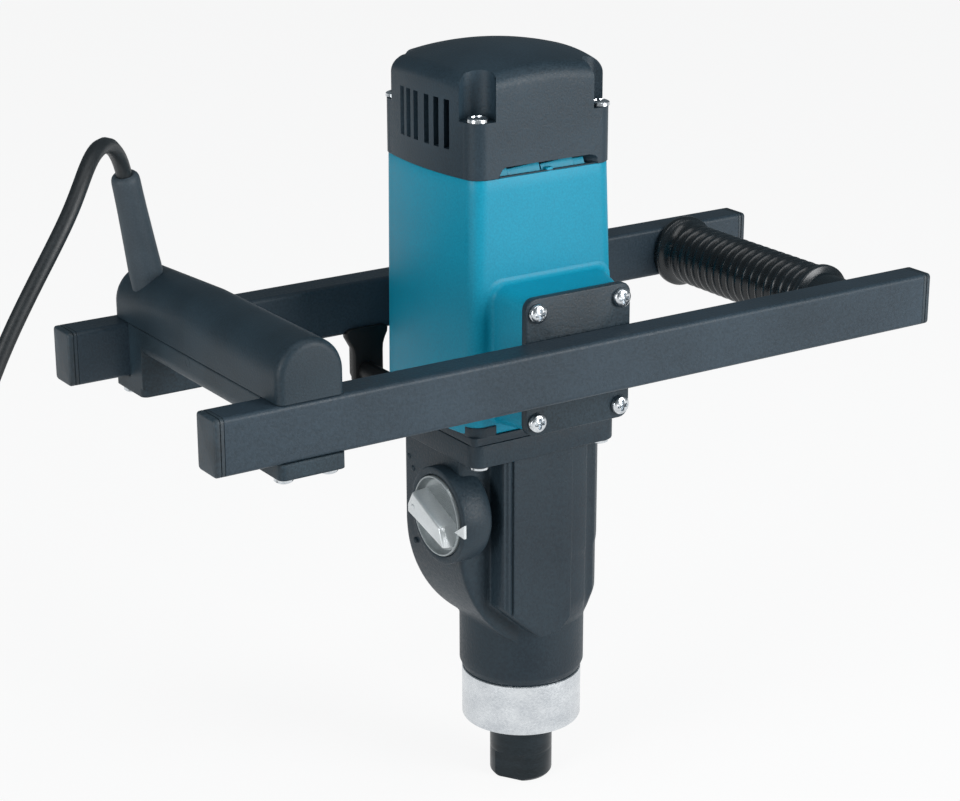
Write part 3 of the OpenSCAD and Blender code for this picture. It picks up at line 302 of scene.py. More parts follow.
def arch(y, inset, closed=1.0):
    """One loop round the handle's wall at y. Outside, two upright sides under a half circle, set in by
    inset; inside, the same handle_wall further in. closed=0 lays the inner row flat on the foot, which
    ends the hollow. Both dip by dip_h from dip_y to the far end."""
    dip = dip_h * np.clip((y - dip_y) / (end_y - dip_y), 0, 1)
    turn = np.radians(np.linspace(0, 180, 33))
    loops = []
    for r in (half_handle - inset, half_handle - handle_wall - inset):
        x = np.concatenate([[r, r], r * np.cos(turn), [-r, -r]])
        z = np.concatenate([[0, 5], arch_z - shell_foot + r * np.sin(turn), [5, 0]])
        loops.append(np.stack([handle_x + x, 0 * x + y, shell_foot + z - dip * np.clip(z / 8, 0, 1)], -1))
    loops[1][:, 2] = shell_foot + (loops[1][:, 2] - shell_foot) * closed
    return np.vstack([loops[0], loops[1][::-1]])


near_turn, far_turn = np.radians(np.linspace(0, 90, 7)), np.radians(np.linspace(90, 0, 9))
rows = [arch(-end_y + near_round * (1 - np.cos(t)), near_round * (1 - np.sin(t)), 0.0) for t in near_turn]
rows += [arch(-end_y + near_solid, 0, 0.0), arch(-end_y + near_solid + 0.1, 0)]
rows += [arch(y, 0) for y in np.linspace(-60, dip_y, 9)]
rows += [arch(y, 0) for y in np.linspace(dip_y + 4, end_y - far_solid - 0.1, 9)]
rows += [arch(end_y - far_solid, 0, 0.0)]
rows += [arch(end_y - far_round * (1 - np.cos(t)), far_round * (1 - np.sin(t)), 0.0) for t in far_turn]
# Glass-filled nylon: blue-black and matt, with a fine grain.
handle_nylon = finish("glass_filled_nylon_handle", "#1B2830", "#273741", 0.5, 35, 0.9, 0.09, gleam=0.3)
side_screw = turned([(-3, 2.2), (0.05, 2.2), (0.05, 1.5), (-0.8, 1.4), (-0.8, 0.4)],
                    (handle_low[0], 3.4, bar_top - 3), (-1, 0, 0), 24)
shell = skin("handle_cover", [np.array(rows), side_screw], handle_nylon)
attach(shell, "body")
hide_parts("handle_upper_shell")

# Switch handle, lower shell. The same nylon: a shallow trough between the bars with a
# block at each end that grips its bar from below. It and the switch inside keep their shapes.
for node in ("handle_lower_shell", "switch_body"):
    coat(finish(node + "_nylon", "#17232A", "#2B3C46", 0.5, 35, 0.9, 0.09, edge=1.6, gleam=0.3), node)
# Polished acetal of the trigger and the lock button: smooth, with a clear soft shine.
coat(finish("polished_acetal", "#12171B", "#1B2227", 0.3, 20, 1.0, 0.01, edge=0.8), "trigger", "lock_button")

# Side bars. Rectangular steel tubes, drawn with a 2 mm corner and powder coated, so their
# faces are finely pebbled and their edges catch a thin line of light.
bar_coat = finish("powder_coated_tube", "#222F38", "#303F4A", 0.46, 60, 1.1, 0.12, edge=0.5, swing=0.08,
                  gleam=0.3)
coat(bar_coat, "near_bar", "far_bar")


# End caps. Pressed into the tubes, of polyethylene, with rounded outer edges and a
# seam where they meet the paint.
def block(outline, axis, low, high, edge):
    """A solid of one outline along an axis. outline takes an inset. Towards each end the inset
    follows a quarter circle of radius edge, or of the two radii edge."""
    first, last = np.broadcast_to(edge, 2)
    turn = np.radians(np.linspace(0, 90, 5))
    rings = [lay(outline(first * (1 - np.sin(t))), axis, low + first * (1 - np.cos(t))) for t in turn]
    rings += [lay(outline(last * (1 - np.sin(t))), axis, high - last * (1 - np.cos(t))) for t in turn[::-1]]
    return np.array(rings)


bar_inner, bar_outer, bar_corner = 61.5, 77.5, 2


def tube_outline(side):
    """The tube's section at that side, as a function of its inset. The corner's radius is less
    by the inset, and 0.4 mm at least."""
    y0, y1 = sorted((side * bar_inner, side * bar_outer))
    return lambda inset: rounded(y0 + inset, y1 - inset, bar_foot + inset, bar_top - inset,
                                 max(bar_corner - inset, 0.4))


# A cap from its outer face inwards: a distance and the inset of its outline there.
cap_steps = [(0, 1.2), (0.1, 0.7), (0.35, 0.3), (0.8, 0.05), (2.3, 0), (2.45, 0.4), (2.75, 0.4), (2.9, 0),
             (4.2, 0), (4.5, 0.35)]
cap_ends = span("bar_end_caps")[:, 0]
caps = [np.array([lay(tube_outline(side)(inset), 0, end + way * at) for at, inset in cap_steps])
        for side in (-1, 1) for end, way in zip(cap_ends, (1, -1))]
# Polyethylene: matt and a little greasy, with fewer specks than the paint.
cap_plastic = finish("moulded_polyethylene", "#17232A", "#2A3A44", 0.5, 15, 1.4, 0.04)
end_caps = skin("bar_caps", caps, cap_plastic)
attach(end_caps, "body")
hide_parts("bar_end_caps")


# Side plates. Steel plate of 4 mm with rounded corners, coated as the bars are. Each
# is welded to its bar and screwed to the pad of the motor housing.
def edged(x0, x1, y0, y1, r):
    """A rounded rectangle between two places on each axis, in either order, as a function of its
    inset, by which each side moves in."""
    (x0, x1), (y0, y1) = sorted((x0, x1)), sorted((y0, y1))
    return lambda inset: rounded(x0 + inset, x1 - inset, y0 + inset, y1 - inset, r)


# Powder coat on plate: black-blue, a little smoother and shinier than on the bars.
plate_coat = finish("powder_coated_plate", "#17232A", "#2B3B45", 0.44, 50, 1.0, 0.1, swing=0.08, gleam=0.3)
for name in ("near", "far"):
    low, high = span(name + "_plate")
    stack = block(edged(low[0], high[0], low[2], high[2], 5), 1, low[1], high[1], 0.7)
    plate = skin(name + "_side_plate", [stack], plate_coat)
    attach(plate, "body")
    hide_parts(name + "_plate")


# Screws. Pan heads with a cross recess, cold-headed steel, zinc plated bright. Eight
# hold the plates, four the cover, four the gear housing and four the handle.
def screw(seat, way, head_r, head_h, shank_r, shank):
    """A screw from its tip to its head: a turned shank and rim, then rings of the dome, whose height
    is 0.45 + 0.55 sqrt(1 - q^2) of the head's at share q of its radius. The recess is sunk where a
    point lies inside either arm of a cross, with walls that fade over a fifth of a millimetre."""
    q = np.linspace(0.97, 0.04, 16)
    profile = [(-shank, 0.6 * shank_r), (-shank + 1.5, shank_r), (-0.02, shank_r), (0, head_r - 0.35),
               (0.35, head_r)]
    profile += [(head_h * (0.45 + 0.55 * np.sqrt(1 - p * p)), head_r * p) for p in q]
    rings = turned(profile, seat, way, 48)
    way = np.array(way, float)
    u = np.cross(way, np.eye(3)[np.argmin(abs(way))])
    off = rings[5:] - np.array(seat)
    a, b = abs(off @ u), abs(off @ np.cross(way, u))
    arm_a = np.minimum(0.15 * head_r - a, 0.56 * head_r - b)
    arm_b = np.minimum(0.15 * head_r - b, 0.56 * head_r - a)
    sunk = np.clip(np.maximum(arm_a, arm_b) / 0.2 + 0.5, 0, 1)
    rings[5:] -= (0.55 * head_h * sunk)[..., None] * way
    return rings


def at_corners(x, y):
    """The four corners of a rectangle round the origin, from its half sides."""
    return [(side_x * x, side_y * y) for side_x in (-1, 1) for side_y in (-1, 1)]


# Bright zinc: a cool mirror with a faint grain and a trace of blue passivation.
zinc = finish("bright_zinc_plate", "#B9BFC4", "#E2E6E9", 0.22, 3, 0.5, 0.006, metallic=1.0)
base_z, case_top = span("rear_cover")[0][2], span("gear_housing")[1][2]
motor_x, cover_x = -12.65, -14.5
cover_bolt, housing_bolt, handle_bolt, plate_bolt = (32.3, 33.5), (33.3, 33), (10.5, 70.5), (22.5, 25)
plate_screws = [screw(((low[0] + high[0]) / 2 + x, side * bar_inner, (low[2] + high[2]) / 2 + z),
                      (0, side, 0), 4.4, 3.2, 2.4, 17)
                for side, (low, high) in ((-1, span("near_plate")), (1, span("far_plate")))
                for x, z in at_corners(*plate_bolt)]
cover_bolts = [screw((cover_x + x, y, base_z + 25), (0, 0, 1), 4.7, 2.8, 2.4, 42)
               for x, y in at_corners(*cover_bolt)]
housing_bolts = [screw((motor_x + x, y, case_top - 11), (0, 0, -1), 4.4, 2.4, 2.35, 31)
                 for x, y in at_corners(*housing_bolt)]
handle_bolts = [screw((handle_x + x, y, bar_foot - 7), (0, 0, -1), 4.2, 3.6, 2.0, 40)
                for x, y in at_corners(*handle_bolt)]
for name, stacks in (("bracket_screws", plate_screws), ("cover_screws", cover_bolts),
                     ("housing_screws", housing_bolts), ("handle_screws", handle_bolts)):
    heads = skin(name + "_plated", stacks, zinc, sharp=40)
    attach(heads, "body")
    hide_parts(name)

# Ribbed grip. A rubber sleeve with seventeen rings between two flanges, moulded in one
# and pushed over a tube between the bars. A plain neck reaches on to the near bar.
grip_x, grip_z = span("ribbed_grip").mean(axis=0)[[0, 2]]
ribs, rib_pitch, ribs_middle, end_at = 17, 5.55, 5.9, 61.2
neck_r, root_r, rib_h, rib_points = 12.9, 13.4, 2.1, 12
across = np.linspace(-ribs / 2, ribs / 2, ribs * rib_points + 1) * rib_pitch
rib = (0.5 + 0.5 * np.cos(2 * np.pi * across / rib_pitch)) ** 0.55
flange_out = [(0, 17.4), (0.4, 17.9), (1, 18.0), (2.6, 18.0), (3.3, 17.6), (4, 16.4), (5.2, 14.6)]
near_flange_at = ribs_middle - ribs / 2 * rib_pitch - 6
grip_profile = [(-end_at, 11), (-end_at, 12.6), (0.3 - end_at, neck_r), (near_flange_at - 1, neck_r),
                (near_flange_at - 0.2, 13.3)]
grip_profile += [(near_flange_at + y, r - 1.2) for y, r in flange_out]
grip_profile += list(zip(across + ribs_middle, root_r + rib_h * rib))
grip_profile += [(end_at - y, r) for y, r in flange_out[::-1]] + [(end_at, 11)]
# Vulcanised rubber: near black and glossy.
grip_rubber = finish("vulcanised_rubber", "#10171B", "#1A242A", 0.28, 30, 0.8, 0.004, swing=0.03)
grip = skin("ribbed_grip_sleeve", [turned(grip_profile, (grip_x, 0, grip_z), (0, 1, 0), 72)], grip_rubber,
            sharp=60)
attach(grip, "body")
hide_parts("ribbed_grip")
coat(bar_coat, "grip_tube")


# Motor housing. One moulding of teal nylon, whose left and right sides swell and whose
# right side drafts in towards the top. A pad for the side plate stands on front and back.
side_bulge = 2.7


def bulged(cx, w, d, inset, corner):
    """A rounded rectangle whose left and right sides are parabolas, side_bulge beyond the rectangle at
    the middle and level with it where the corners begin."""
    x, y = w / 2 - inset, d / 2 - inset
    c = rounded(-x, x, -y, y, corner, steps=8)
    t = np.linspace(-1, 1, 16)[1:-1]
    side = np.stack([x + side_bulge * (1 - t * t), t * (y - corner)], -1)
    return np.vstack([c[:16], -side, c[16:], side]) + [cx, 0]


motor_low, motor_high = span("motor_housing")
motor_w, motor_d, motor_draft, motor_corner = 79.3, 76, 4.5, 6


def housing_ring(z, inset):
    """The housing's outline at z. Its middle, width and corners change evenly from foot to top."""
    up = (z - motor_low[2]) / (motor_high[2] - motor_low[2])
    return lay(bulged(motor_x + (cover_x - motor_x) * up, motor_w - motor_draft * up, motor_d, inset,
                      motor_corner + 2 * up), 2, z)


shell_steps = [(0.1, 0.5), (0.4, 0.2), (1, 0)] + [(z, 0) for z in np.linspace(11, 111, 11)]
shell_steps += [(116.3, 0), (116.8, 0.15), (117, 0.5)]
shell_rings = np.array([housing_ring(motor_low[2] + z, inset) for z, inset in shell_steps])
pad_flare, pad_draft, pad_y = 3, 3.2, 57.5


def pad(side, node):
    """The pad from inside the housing outwards: a flare at its foot, sides that draft in, and a
    rounded front edge. Each step is an inset of its outline and a distance out."""
    low, high = span(node)
    foot, rim = np.radians(np.linspace(0, 90, 6)), np.radians(np.linspace(90, 0, 4))
    steps = [(-pad_flare, motor_d / 2 - 3)]
    steps += [(-pad_flare * (1 - np.sin(t)), motor_d / 2 + pad_flare * (1 - np.cos(t))) for t in foot]
    steps += [(1.2, 47)] + [(pad_draft - np.sin(t) + 0.9, pad_y - (1 - np.cos(t))) for t in rim]
    return np.array([lay(rounded(low[0] - 2.2 + i, high[0] + 2.7 - i, low[2] - 0.3 + 0.4 * max(i, 0),
                                 high[2] + 1 - i, 6.5 - 0.3 * i, steps=9), 1, side * y) for i, y in steps])


fin_y, fin_t, fin_lean = 35.8, 1.2, 1.6
# Left and right end of each fin behind the cover's lower vent, and its height at both.
fin_ends = ((-37.6, -32.4, 3.3, 3.3), (-32.2, -15.4, 2.6, 3.8), (-14.6, 2.6, 2.6, 3.9), (2.8, 8.5, 3.0, 3.0))


def fin(x0, x1, tall0, tall1, side):
    """A fin of thickness fin_t on that side. It leans back as it rises, to tall0 at x0 and tall1 at x1."""
    foot = np.array([[x0, -fin_y], [x1, -fin_y], [x1, fin_t - fin_y], [x0, fin_t - fin_y]])
    top = foot + [0, fin_lean]
    rise = base_z + np.array([tall0, tall1, tall1, tall0])
    return np.array([lay(foot, 2, base_z - 1), lay(foot, 2, base_z + 0.2),
                     np.column_stack([top, rise])]) * [1, side, 1]


fins = [fin(*ends, side) for side in (1, -1) for ends in fin_ends]
# A small tab on the rim in the middle of each vent.
tabs = [block(edged(-13.2, -9.8, side * 34, side * 37.7, 0.5), 2, base_z - 1, base_z + 1.5, 0.3)
        for side in (-1, 1)]
# Teal nylon: satin, with a fine eroded grain that glitters slightly in full light.
teal = finish("satin_teal_nylon", "#007F9B", "#0892AF", 0.45, 70, 0.9, 0.035, swing=0.06, gleam=0.28)
motor = skin("motor_housing_moulding",
             [shell_rings, pad(-1, "near_plate"), pad(1, "far_plate"), *fins, *tabs], teal, sharp=40)
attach(motor, "body")
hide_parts("motor_housing")


# Rear cover. Black nylon: a skirt, a low crown on rounded shoulders, a round channel
# down each corner for its screw, six air slots in the left and the right side, and a
# wide low vent at the foot of the front and of the back.
half_w, half_d, plan_r, round_r, crown_r, channel_r, far_out = 37.7, 38.3, 8.0, 8.0, 130.0, 8.0, 300
slot_ys = np.array([-19.7, -12.3, -5, 3.7, 10.2, 16.1])
slot_half, slot_low, slot_high, slot_deep = 1.7, 11.7, 33.3, 11.0
vent_top, vent_deep, inner_face = 4.5, 7.0, 30
straight = half_d - plan_r
cover_low, cover_high = span("rear_cover")
apex = cover_high[2]
# Bearings of the grid's columns, close together at the screw channels and at the slots' edges.
slot_edges = np.array([-slot_half - 0.15, 0.1 - slot_half, slot_half - 0.1, slot_half + 0.15])
slot_edges = (slot_ys[:, None] + slot_edges).ravel()
slot_face = half_w + side_bulge * (1 - (slot_edges / straight) ** 2)
corner_at = np.degrees(np.arctan2(cover_bolt[1], cover_bolt[0]))
bearing = np.concatenate(
    [s * corner_at + h + np.linspace(-16, 16, 85) for h in (0, 180) for s in (-1, 1)]
    + [h + np.linspace(-31, 31, 24) for h in (0, 180)] + [h + np.linspace(-28, 28, 22) for h in (90, 270)]
    + [np.degrees(np.arctan2(slot_edges, s * slot_face)) for s in (-1, 1)])
bearing = np.radians(np.unique(np.round(bearing % 360, 3)))
cosine, sine = np.maximum(abs(np.cos(bearing)), 0.02), np.maximum(abs(np.sin(bearing)), 0.02)


def plan_reach(inset):
    """How far the cover's plan reaches along each bearing: the nearer of its flat front or back, its
    parabolic side, and where it lies in a corner the arc of that corner, all set in by inset."""
    front, corner = half_d - inset, max(plan_r - inset, 0.05)
    reach = half_w / cosine
    for _ in range(8):
        side = half_w - inset + side_bulge * np.clip(1 - (reach * sine / straight) ** 2, 0, 1)
        reach = np.minimum(side / cosine, front / sine)
    cx, cy = half_w - inset - corner, front - corner
    far, off = np.hypot(cx, cy), np.arctan2(sine, cosine) - np.arctan2(cy, cx)
    under = corner ** 2 - (far * np.sin(off)) ** 2
    arc = far * np.cos(off) + np.sqrt(np.maximum(under, 0))
    at_corner = (under > 0) & (reach * cosine > cx) & (reach * sine > cy)
    return np.where(at_corner, np.minimum(arc, reach), reach)


def dome(r):
    """Height over a point r out along each bearing: the crown's sphere, or nearer the edge an arc that
    leaves the sphere's inner parallel, round_r below it, and meets the wall upright."""
    edge = plan_reach(round_r)
    level = apex - crown_r + np.sqrt((crown_r - round_r) ** 2 - edge ** 2)
    out = np.clip((r - edge) / (plan_reach(0) - edge), 0, 1)
    arc = level + round_r * np.sqrt(1 - out ** 2)
    sphere = apex - crown_r + np.sqrt(crown_r ** 2 - r ** 2)
    return np.where(r < edge * crown_r / (crown_r - round_r), sphere, arc)


wall_r = plan_reach(0)
to_screw = np.hypot(*cover_bolt)
off_screw = np.arctan2(sine, cosine) - np.radians(corner_at)
within = channel_r ** 2 - (to_screw * np.sin(off_screw)) ** 2
channel = np.where(within > 0, to_screw * np.cos(off_screw) - np.sqrt(np.maximum(within, 0)), far_out)
top_r = np.minimum(wall_r, channel)
# The rings' levels: up the skirt, up the part with the channels, and shares of the way in on top.
wall_z = np.array([0, 0.25, 0.9, 1.6, 2.3, 2.9, 3.4, 3.8, 4.1, 4.35, 4.5, 4.7, 8, 11.6, 11.8, 18, 24.8, 25])
upper_z = np.array([25, 25.3, 29, 33.2, 33.4, 35.5])
crown_share = np.concatenate([1 - 0.24 * (1 - np.cos(np.radians(np.linspace(0, 90, 16)))),
                              np.linspace(0.72, 0.04, 14)])[:, None]
cover_r = np.vstack([np.tile(wall_r, (len(wall_z), 1)), np.tile(top_r, (len(upper_z), 1)),
                     crown_share * top_r])
cover_z = np.vstack([cover_low[2] + np.tile(np.concatenate([wall_z, upper_z])[:, None], bearing.size),
                     [dome(row) for row in crown_share * top_r]])
cover_r[0] -= 0.25
# The slots and the lower vents are places where the skin is set in. A vent's ends lean inwards.
up = cover_z - cover_low[2]
out_y, out_x = cover_r * np.sin(bearing), cover_r * np.cos(bearing)
in_slot = (np.any(abs(out_y[..., None] - slot_ys) < slot_half, axis=-1) & (abs(out_x) > inner_face)
           & (up > slot_low) & (up < slot_high))
vent_left = -24.5 + 0.55 * up + 1.2 * (up / vent_top) ** 5
vent_right = 28.3 - 0.2 * up - 3 * (up / vent_top) ** 6
in_vent = (out_x > vent_left) & (out_x < vent_right) & (abs(out_y) > inner_face) & (up < vent_top + 0.1)
cover_r = cover_r - np.where(in_slot, slot_deep, 0) - np.where(in_vent, vent_deep, 0)
cover_rings = np.stack([cover_x + cover_r * np.cos(bearing), cover_r * np.sin(bearing), cover_z], -1)
# A thin lip along the foot of each vent.
lips = [block(edged(-38.5, 13.2, side * 36.1, side * 37.75, 0.4), 2, base_z + 0.02, base_z + 0.5, 0.15)
        for side in (-1, 1)]
# Black glass-filled nylon: blue-black, with specks where the grain catches the light.
cover_nylon = finish("glass_filled_nylon_cover", "#1B2932", "#2B3C47", 0.47, 45, 0.9, 0.1, swing=0.08,
                     gleam=0.3)
cover = skin("motor_cover", [cover_rings, *lips], cover_nylon, sharp=28)
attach(cover, "body")
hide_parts("rear_cover")

# Bearing flange. A die-cast plate between motor and gear housing, with a lug at each
# corner that laps over the teal moulding for the screws.
flange_x0, flange_x1, flange_y, lug_side, lug_lap = -52.3, 27.0, 38.5, 12.9, 0.1
flange_plate = block(edged(flange_x0, flange_x1, -flange_y, flange_y, 2.5), 2, case_top + 0.1, case_top + 4,
                     0.4)
# The radii of each lug's corners, its outer one and the other three.
lug_radii = {(1, 1): (6, 2, 2, 2), (-1, 1): (2, 6, 2, 2), (-1, -1): (2, 2, 6, 2), (1, -1): (2, 2, 2, 6)}
lugs = []
for (side_x, side_y), radii in lug_radii.items():
    edge_x = flange_x0 if side_x < 0 else flange_x1
    lug = edged(edge_x + side_x * lug_lap, edge_x - side_x * lug_side,
                side_y * (flange_y + lug_lap), side_y * (flange_y - lug_side), radii)
    lugs.append(block(lug, 2, case_top + 3.5, case_top + 8.5, 0.6))
# Powder coat on a casting: black-blue, pebbled a little more coarsely than on the plates.
castings = finish("powder_coated_casting", "#18242D", "#25343D", 0.5, 50, 1.3, 0.16, swing=0.08, gleam=0.3)
flange = skin("bearing_flange_casting", [flange_plate, *lugs], castings)
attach(flange, "body")
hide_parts("bearing_flange")


# Gear housing. Die-cast aluminium, powder coated. Its skin is worked out round the
# spindle axis as the greatest reach of a neck, a drum, a wide slab that sweeps in on an
# arc, and a deep slab with a ridge down its left edges and a slanted underside.
def soft_least(parts, p):
    """A smooth least: the sum of the parts to the power -p, to the power -1 / p."""
    return 40 * sum((part / 40) ** -p for part in parts) ** (-1 / p)


def soft_most(parts, p):
    """A smooth greatest: the sum of the parts to the power p, to the power 1 / p."""
    return 40 * sum((part / 40) ** p for part in parts) ** (1 / p)


ridge_at = 129.5
case_turn = np.unique(np.round(np.concatenate([
    np.linspace(0, 360, 400, endpoint=False), ridge_at + np.linspace(-4, 4, 34),
    360 - ridge_at + np.linspace(-4, 4, 34)]), 3))
case_cos, case_sin = np.cos(np.radians(case_turn)), np.sin(np.radians(case_turn))
neck_z, wide_z, slab_z, arc_z = span("spindle_collar")[1][2] - 2.5, 78.5, case_top - 103.5, case_top - 52
case_z = np.concatenate([
    neck_z + np.array([0, 0.6, 2, 3.4, 4.2]), np.linspace(66, wide_z - 0.5, 4),
    np.linspace(wide_z + 1, slab_z - 0.6, 9), slab_z + np.array([-0.1, 0, 0.45, 0.55]),
    np.linspace(slab_z + 1.2, arc_z - 14, 50), np.linspace(arc_z - 13, case_top - 12, 26),
    [case_top - 10.8]])[:, None]
# A plane x units to the left of the axis is x / left away along each bearing, and so on.
left, right, deep = np.maximum(-case_cos, 1e-3), np.maximum(case_cos, 1e-3), np.maximum(abs(case_sin), 1e-3)
wide_x, wide_half, arc_r, deep_half, right_x = 50.5, 24, 68.0, 35.5, 4
neck = np.interp(case_z, neck_z + np.array([0, 0.8, 4.2]), [27.9, 28.6, 30.0]) + 0 * case_cos
arc = np.sqrt(np.maximum(arc_r ** 2 - (case_z - arc_z) ** 2, 1)) - (arc_r - wide_x)
arc = np.where(case_z < arc_z, arc, wide_x)
wide_slab = soft_least([arc / left, wide_half / deep, right_x / right], 40)
# The deep slab. Its left face slopes out, its front and back carry two grooves beside the ridge,
# and right of flat_end its underside is the cone round the neck.
slope = 14 + 20 * np.clip((case_z - slab_z) / 18.5, 0, 1)
cone = np.interp(case_z, slab_z + np.array([-1, 4, 9, 13.4, 17]), [29.9, 32.1, 33.9, 35.7, 36]) + 0 * case_cos
flat_end = np.interp(case_z, slab_z + np.array([0, 1, 10.5, 13]), [-14, -1, 8.6, 40])
ridge_x = deep_half * case_cos / deep
face = deep_half - 1.1 * np.exp(-((ridge_x + 29.6) / 0.8) ** 2) - 0.8 * np.exp(-((ridge_x + 33.2) / 1.1) ** 2)
deep_slab = soft_least([slope / left, face / deep, right_x / right], 36)
on_flat = np.clip((flat_end - ridge_x) / 1.2, 0, 1)
deep_slab = deep_slab * on_flat + np.minimum(deep_slab, cone) * (1 - on_flat)
drum = soft_least([np.interp(case_z, [arc_z - 16, arc_z - 12], [35.2, 36.0]), cone, slope / left], 60)
above = case_z > slab_z
case_r = soft_most([neck, np.where(case_z > wide_z, wide_slab, 1.0), np.where(above, deep_slab, 1.0),
                    np.where(above, drum, 1.0)], 70)
# A round channel for each of the two screws at the right.
bolt_x, bolt_y, bolt_channel_r = motor_x + housing_bolt[0], housing_bolt[1], 6
to_bolt = np.hypot(bolt_x, bolt_y)
off_bolt = abs((case_turn + 180) % 360 - 180) - np.degrees(np.arctan2(bolt_y, bolt_x))
gap = bolt_channel_r ** 2 - (to_bolt * np.sin(np.radians(off_bolt))) ** 2
to_channel = to_bolt * np.cos(np.radians(off_bolt)) - np.sqrt(np.maximum(gap, 0))
to_channel = np.where((gap > 0) & (abs(off_bolt) < 20), to_channel, far_out)
case_r = np.where(above, soft_least([case_r, np.broadcast_to(to_channel, case_r.shape)], 90), case_r)
case_rings = np.stack([case_r * case_cos, case_r * case_sin, np.broadcast_to(case_z, case_r.shape)], -1)
collar_slab = block(edged(flange_x0, flange_x1, -flange_y, flange_y, 6), 2, case_top - 11, case_top - 0.1,
                    (0.8, 0.4))
# The round boss that carries the knob, as places along x, and three dots that mark its positions.
knob_y, knob_z = -14.0, case_top - 39.5
boss_profile = [(-52.8, 3), (-52.8, 19.3), (-56.1, 19.35), (-56.5, 19.9), (-56.5, 22.2), (-56.2, 22.75),
                (-55.6, 23), (-50, 23), (-46, 22.9), (-43, 22.3), (-41, 21.2), (-39.5, 19.5), (-38.4, 16.5),
                (-37.9, 12)]
boss = turned(boss_profile, (0, knob_y, knob_z), (1, 0, 0), 96)
dot_profile = [(-1.5, 1.5), (0, 1.5), (0.35, 1.25), (0.6, 0.8), (0.7, 0.3)]
dots_at = ((20, -22), (16.4, -27), (15.4, -63))
dots = [turned(dot_profile, (-wide_x, y, case_top + z), (-1, 0, 0), 20) for y, z in dots_at]
case = skin("gear_housing_casting", [case_rings, collar_slab, boss, *dots], castings, sharp=38)
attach(case, "body")
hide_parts("gear_housing")

# Gear knob. A dished disc of grey plastic with a folded grip bar of bright silver
# across it. A small pointer of the same silver stands out from the disc's rim and laps
# over the boss.
rim_x, dish_rings = -57.5, np.repeat(np.linspace(3.2, 16.6, 14), 2)
dish_profile = [(3.4, 2), *((3.4 + 0.12 * (k % 2), r) for k, r in enumerate(dish_rings)), (3.3, 16.9),
                (2.2, 17.5), (1.0, 17.8), (0.3, 17.95), (0.05, 18.1), (0, 18.3), (0.1, 18.7), (0.5, 18.95),
                (1.2, 19.0), (4.4, 19.0), (4.4, 9), (12, 9)]
dish = turned(dish_profile, (rim_x, knob_y, knob_z), (1, 0, 0), 96)
bar_corners = np.array([[12.2, 9.0], [16.3, 2.2], [16.3, -1.75], [10, -3.6], [-14, -10.3], [-10.8, -1.1]])


def grip_outline(inset):
    """The bar's outer face: its corners, each cut off 0.5 mm to either side and drawn in towards the
    middle line by inset."""
    before = np.roll(bar_corners, 1, axis=0) - bar_corners
    after = np.roll(bar_corners, -1, axis=0) - bar_corners
    before, after = [way / np.linalg.norm(way, axis=1)[:, None] for way in (before, after)]
    cut = np.stack([bar_corners + 0.5 * before, bar_corners + 0.15 * (before + after),
                    bar_corners + 0.5 * after], 1).reshape(-1, 2)
    inward = np.repeat(before + after, 3, axis=0)
    inward /= np.linalg.norm(inward, axis=1)[:, None]
    return cut + inset * inward + [knob_y, knob_z]


# Places out from the rim and insets of the bar's outline, from its foot to its crest.
bar_steps = [(3.7, -0.9), (0, -0.5), (-3.9, -0.1), (-4.5, 0.1), (-4.85, 0.45), (-5, 0.9)]
bar_rings = np.array([lay(grip_outline(inset), 0, rim_x + x) for x, inset in bar_steps])
stud = turned([(0, 1.1), (0.25, 1.05), (0.45, 0.8), (0.55, 0.3)], (rim_x - 5, knob_y + 11.6, knob_z + 2.2),
              (-1, 0, 0), 20)
# Silver-grey moulding of the bar and the pointer, lacquered: cool and bright.
silver = finish("lacquered_silver_plastic", "#CDD2D4", "#DADEDF", 0.3, 9, 0.7, 0.002, metallic=0.5,
                swing=0.02)
# Spun grey lacquer of the dish: darker and duller, so the bar stands out against it.
grey_dish = finish("spun_grey_lacquer", "#8F9698", "#A2A9AB", 0.34, 9, 0.7, 0.002, metallic=0.5,
                   swing=0.02)
knob = skin("gear_knob_disc", [dish], grey_dish, sharp=30)
knob_bar = skin("gear_knob_bar", [bar_rings, stud], silver, sharp=30)
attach(knob_bar, "gear_knob")
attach(knob, "gear_knob")
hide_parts("gear_knob")
# The pointer: a triangle that narrows towards the disc, and is drawn in at its outer face.
pointer_at = np.array([[-17.0, -2.2], [-25.0, -2.9], [-25.0, 3.5]])
pointer_steps = ((-56.85, 0), (-58.0, 0), (-58.2, 0.5))
pointer_rings = np.array([lay(pointer_at * (1 - i / 12) + [knob_y - 1.8 * i, knob_z - i / 25], 0, x)
                          for x, i in pointer_steps])
pointer_mark = skin("gear_pointer", [pointer_rings], silver)
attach(pointer_mark, "gear_knob")

# Spindle collar. A ring of aluminium turned bright, pressed into the neck.
collar_low, collar_high, collar_r = span("spindle_collar")[0][2], neck_z, 28.85
collar_profile = [(collar_high, 24), (collar_high, 28.4), (collar_high - 0.4, 28.8),
                  (collar_high - 1, collar_r)]
collar_profile += [(collar_low + z, r) for z, r in (
    (0.8, collar_r), (0.2, 28.6), (0, 28.1), (0, 17.2), (0.3, 16.4), (1.5, 16.1), (3.5, 16.0), (3.7, 21.9),
    (13.5, 21.9))]
# Turned aluminium: a bright satin metal with soft cloudy patches, its fine grain drawn
# out a little round the axis, as a lathe leaves it.
turned_aluminium = finish("turned_aluminium", "#C2C7CC", "#E0E4E7", 0.3, 12, 1.3, 0.002, metallic=1.0,
                          swing=0.08, stretch=(1, 1, 1.6))
collar = skin("turned_collar", [turned(collar_profile, (0, 0, 0), (0, 0, 1), 128)], turned_aluminium,
              sharp=25)
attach(collar, "body")
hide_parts("spindle_collar")

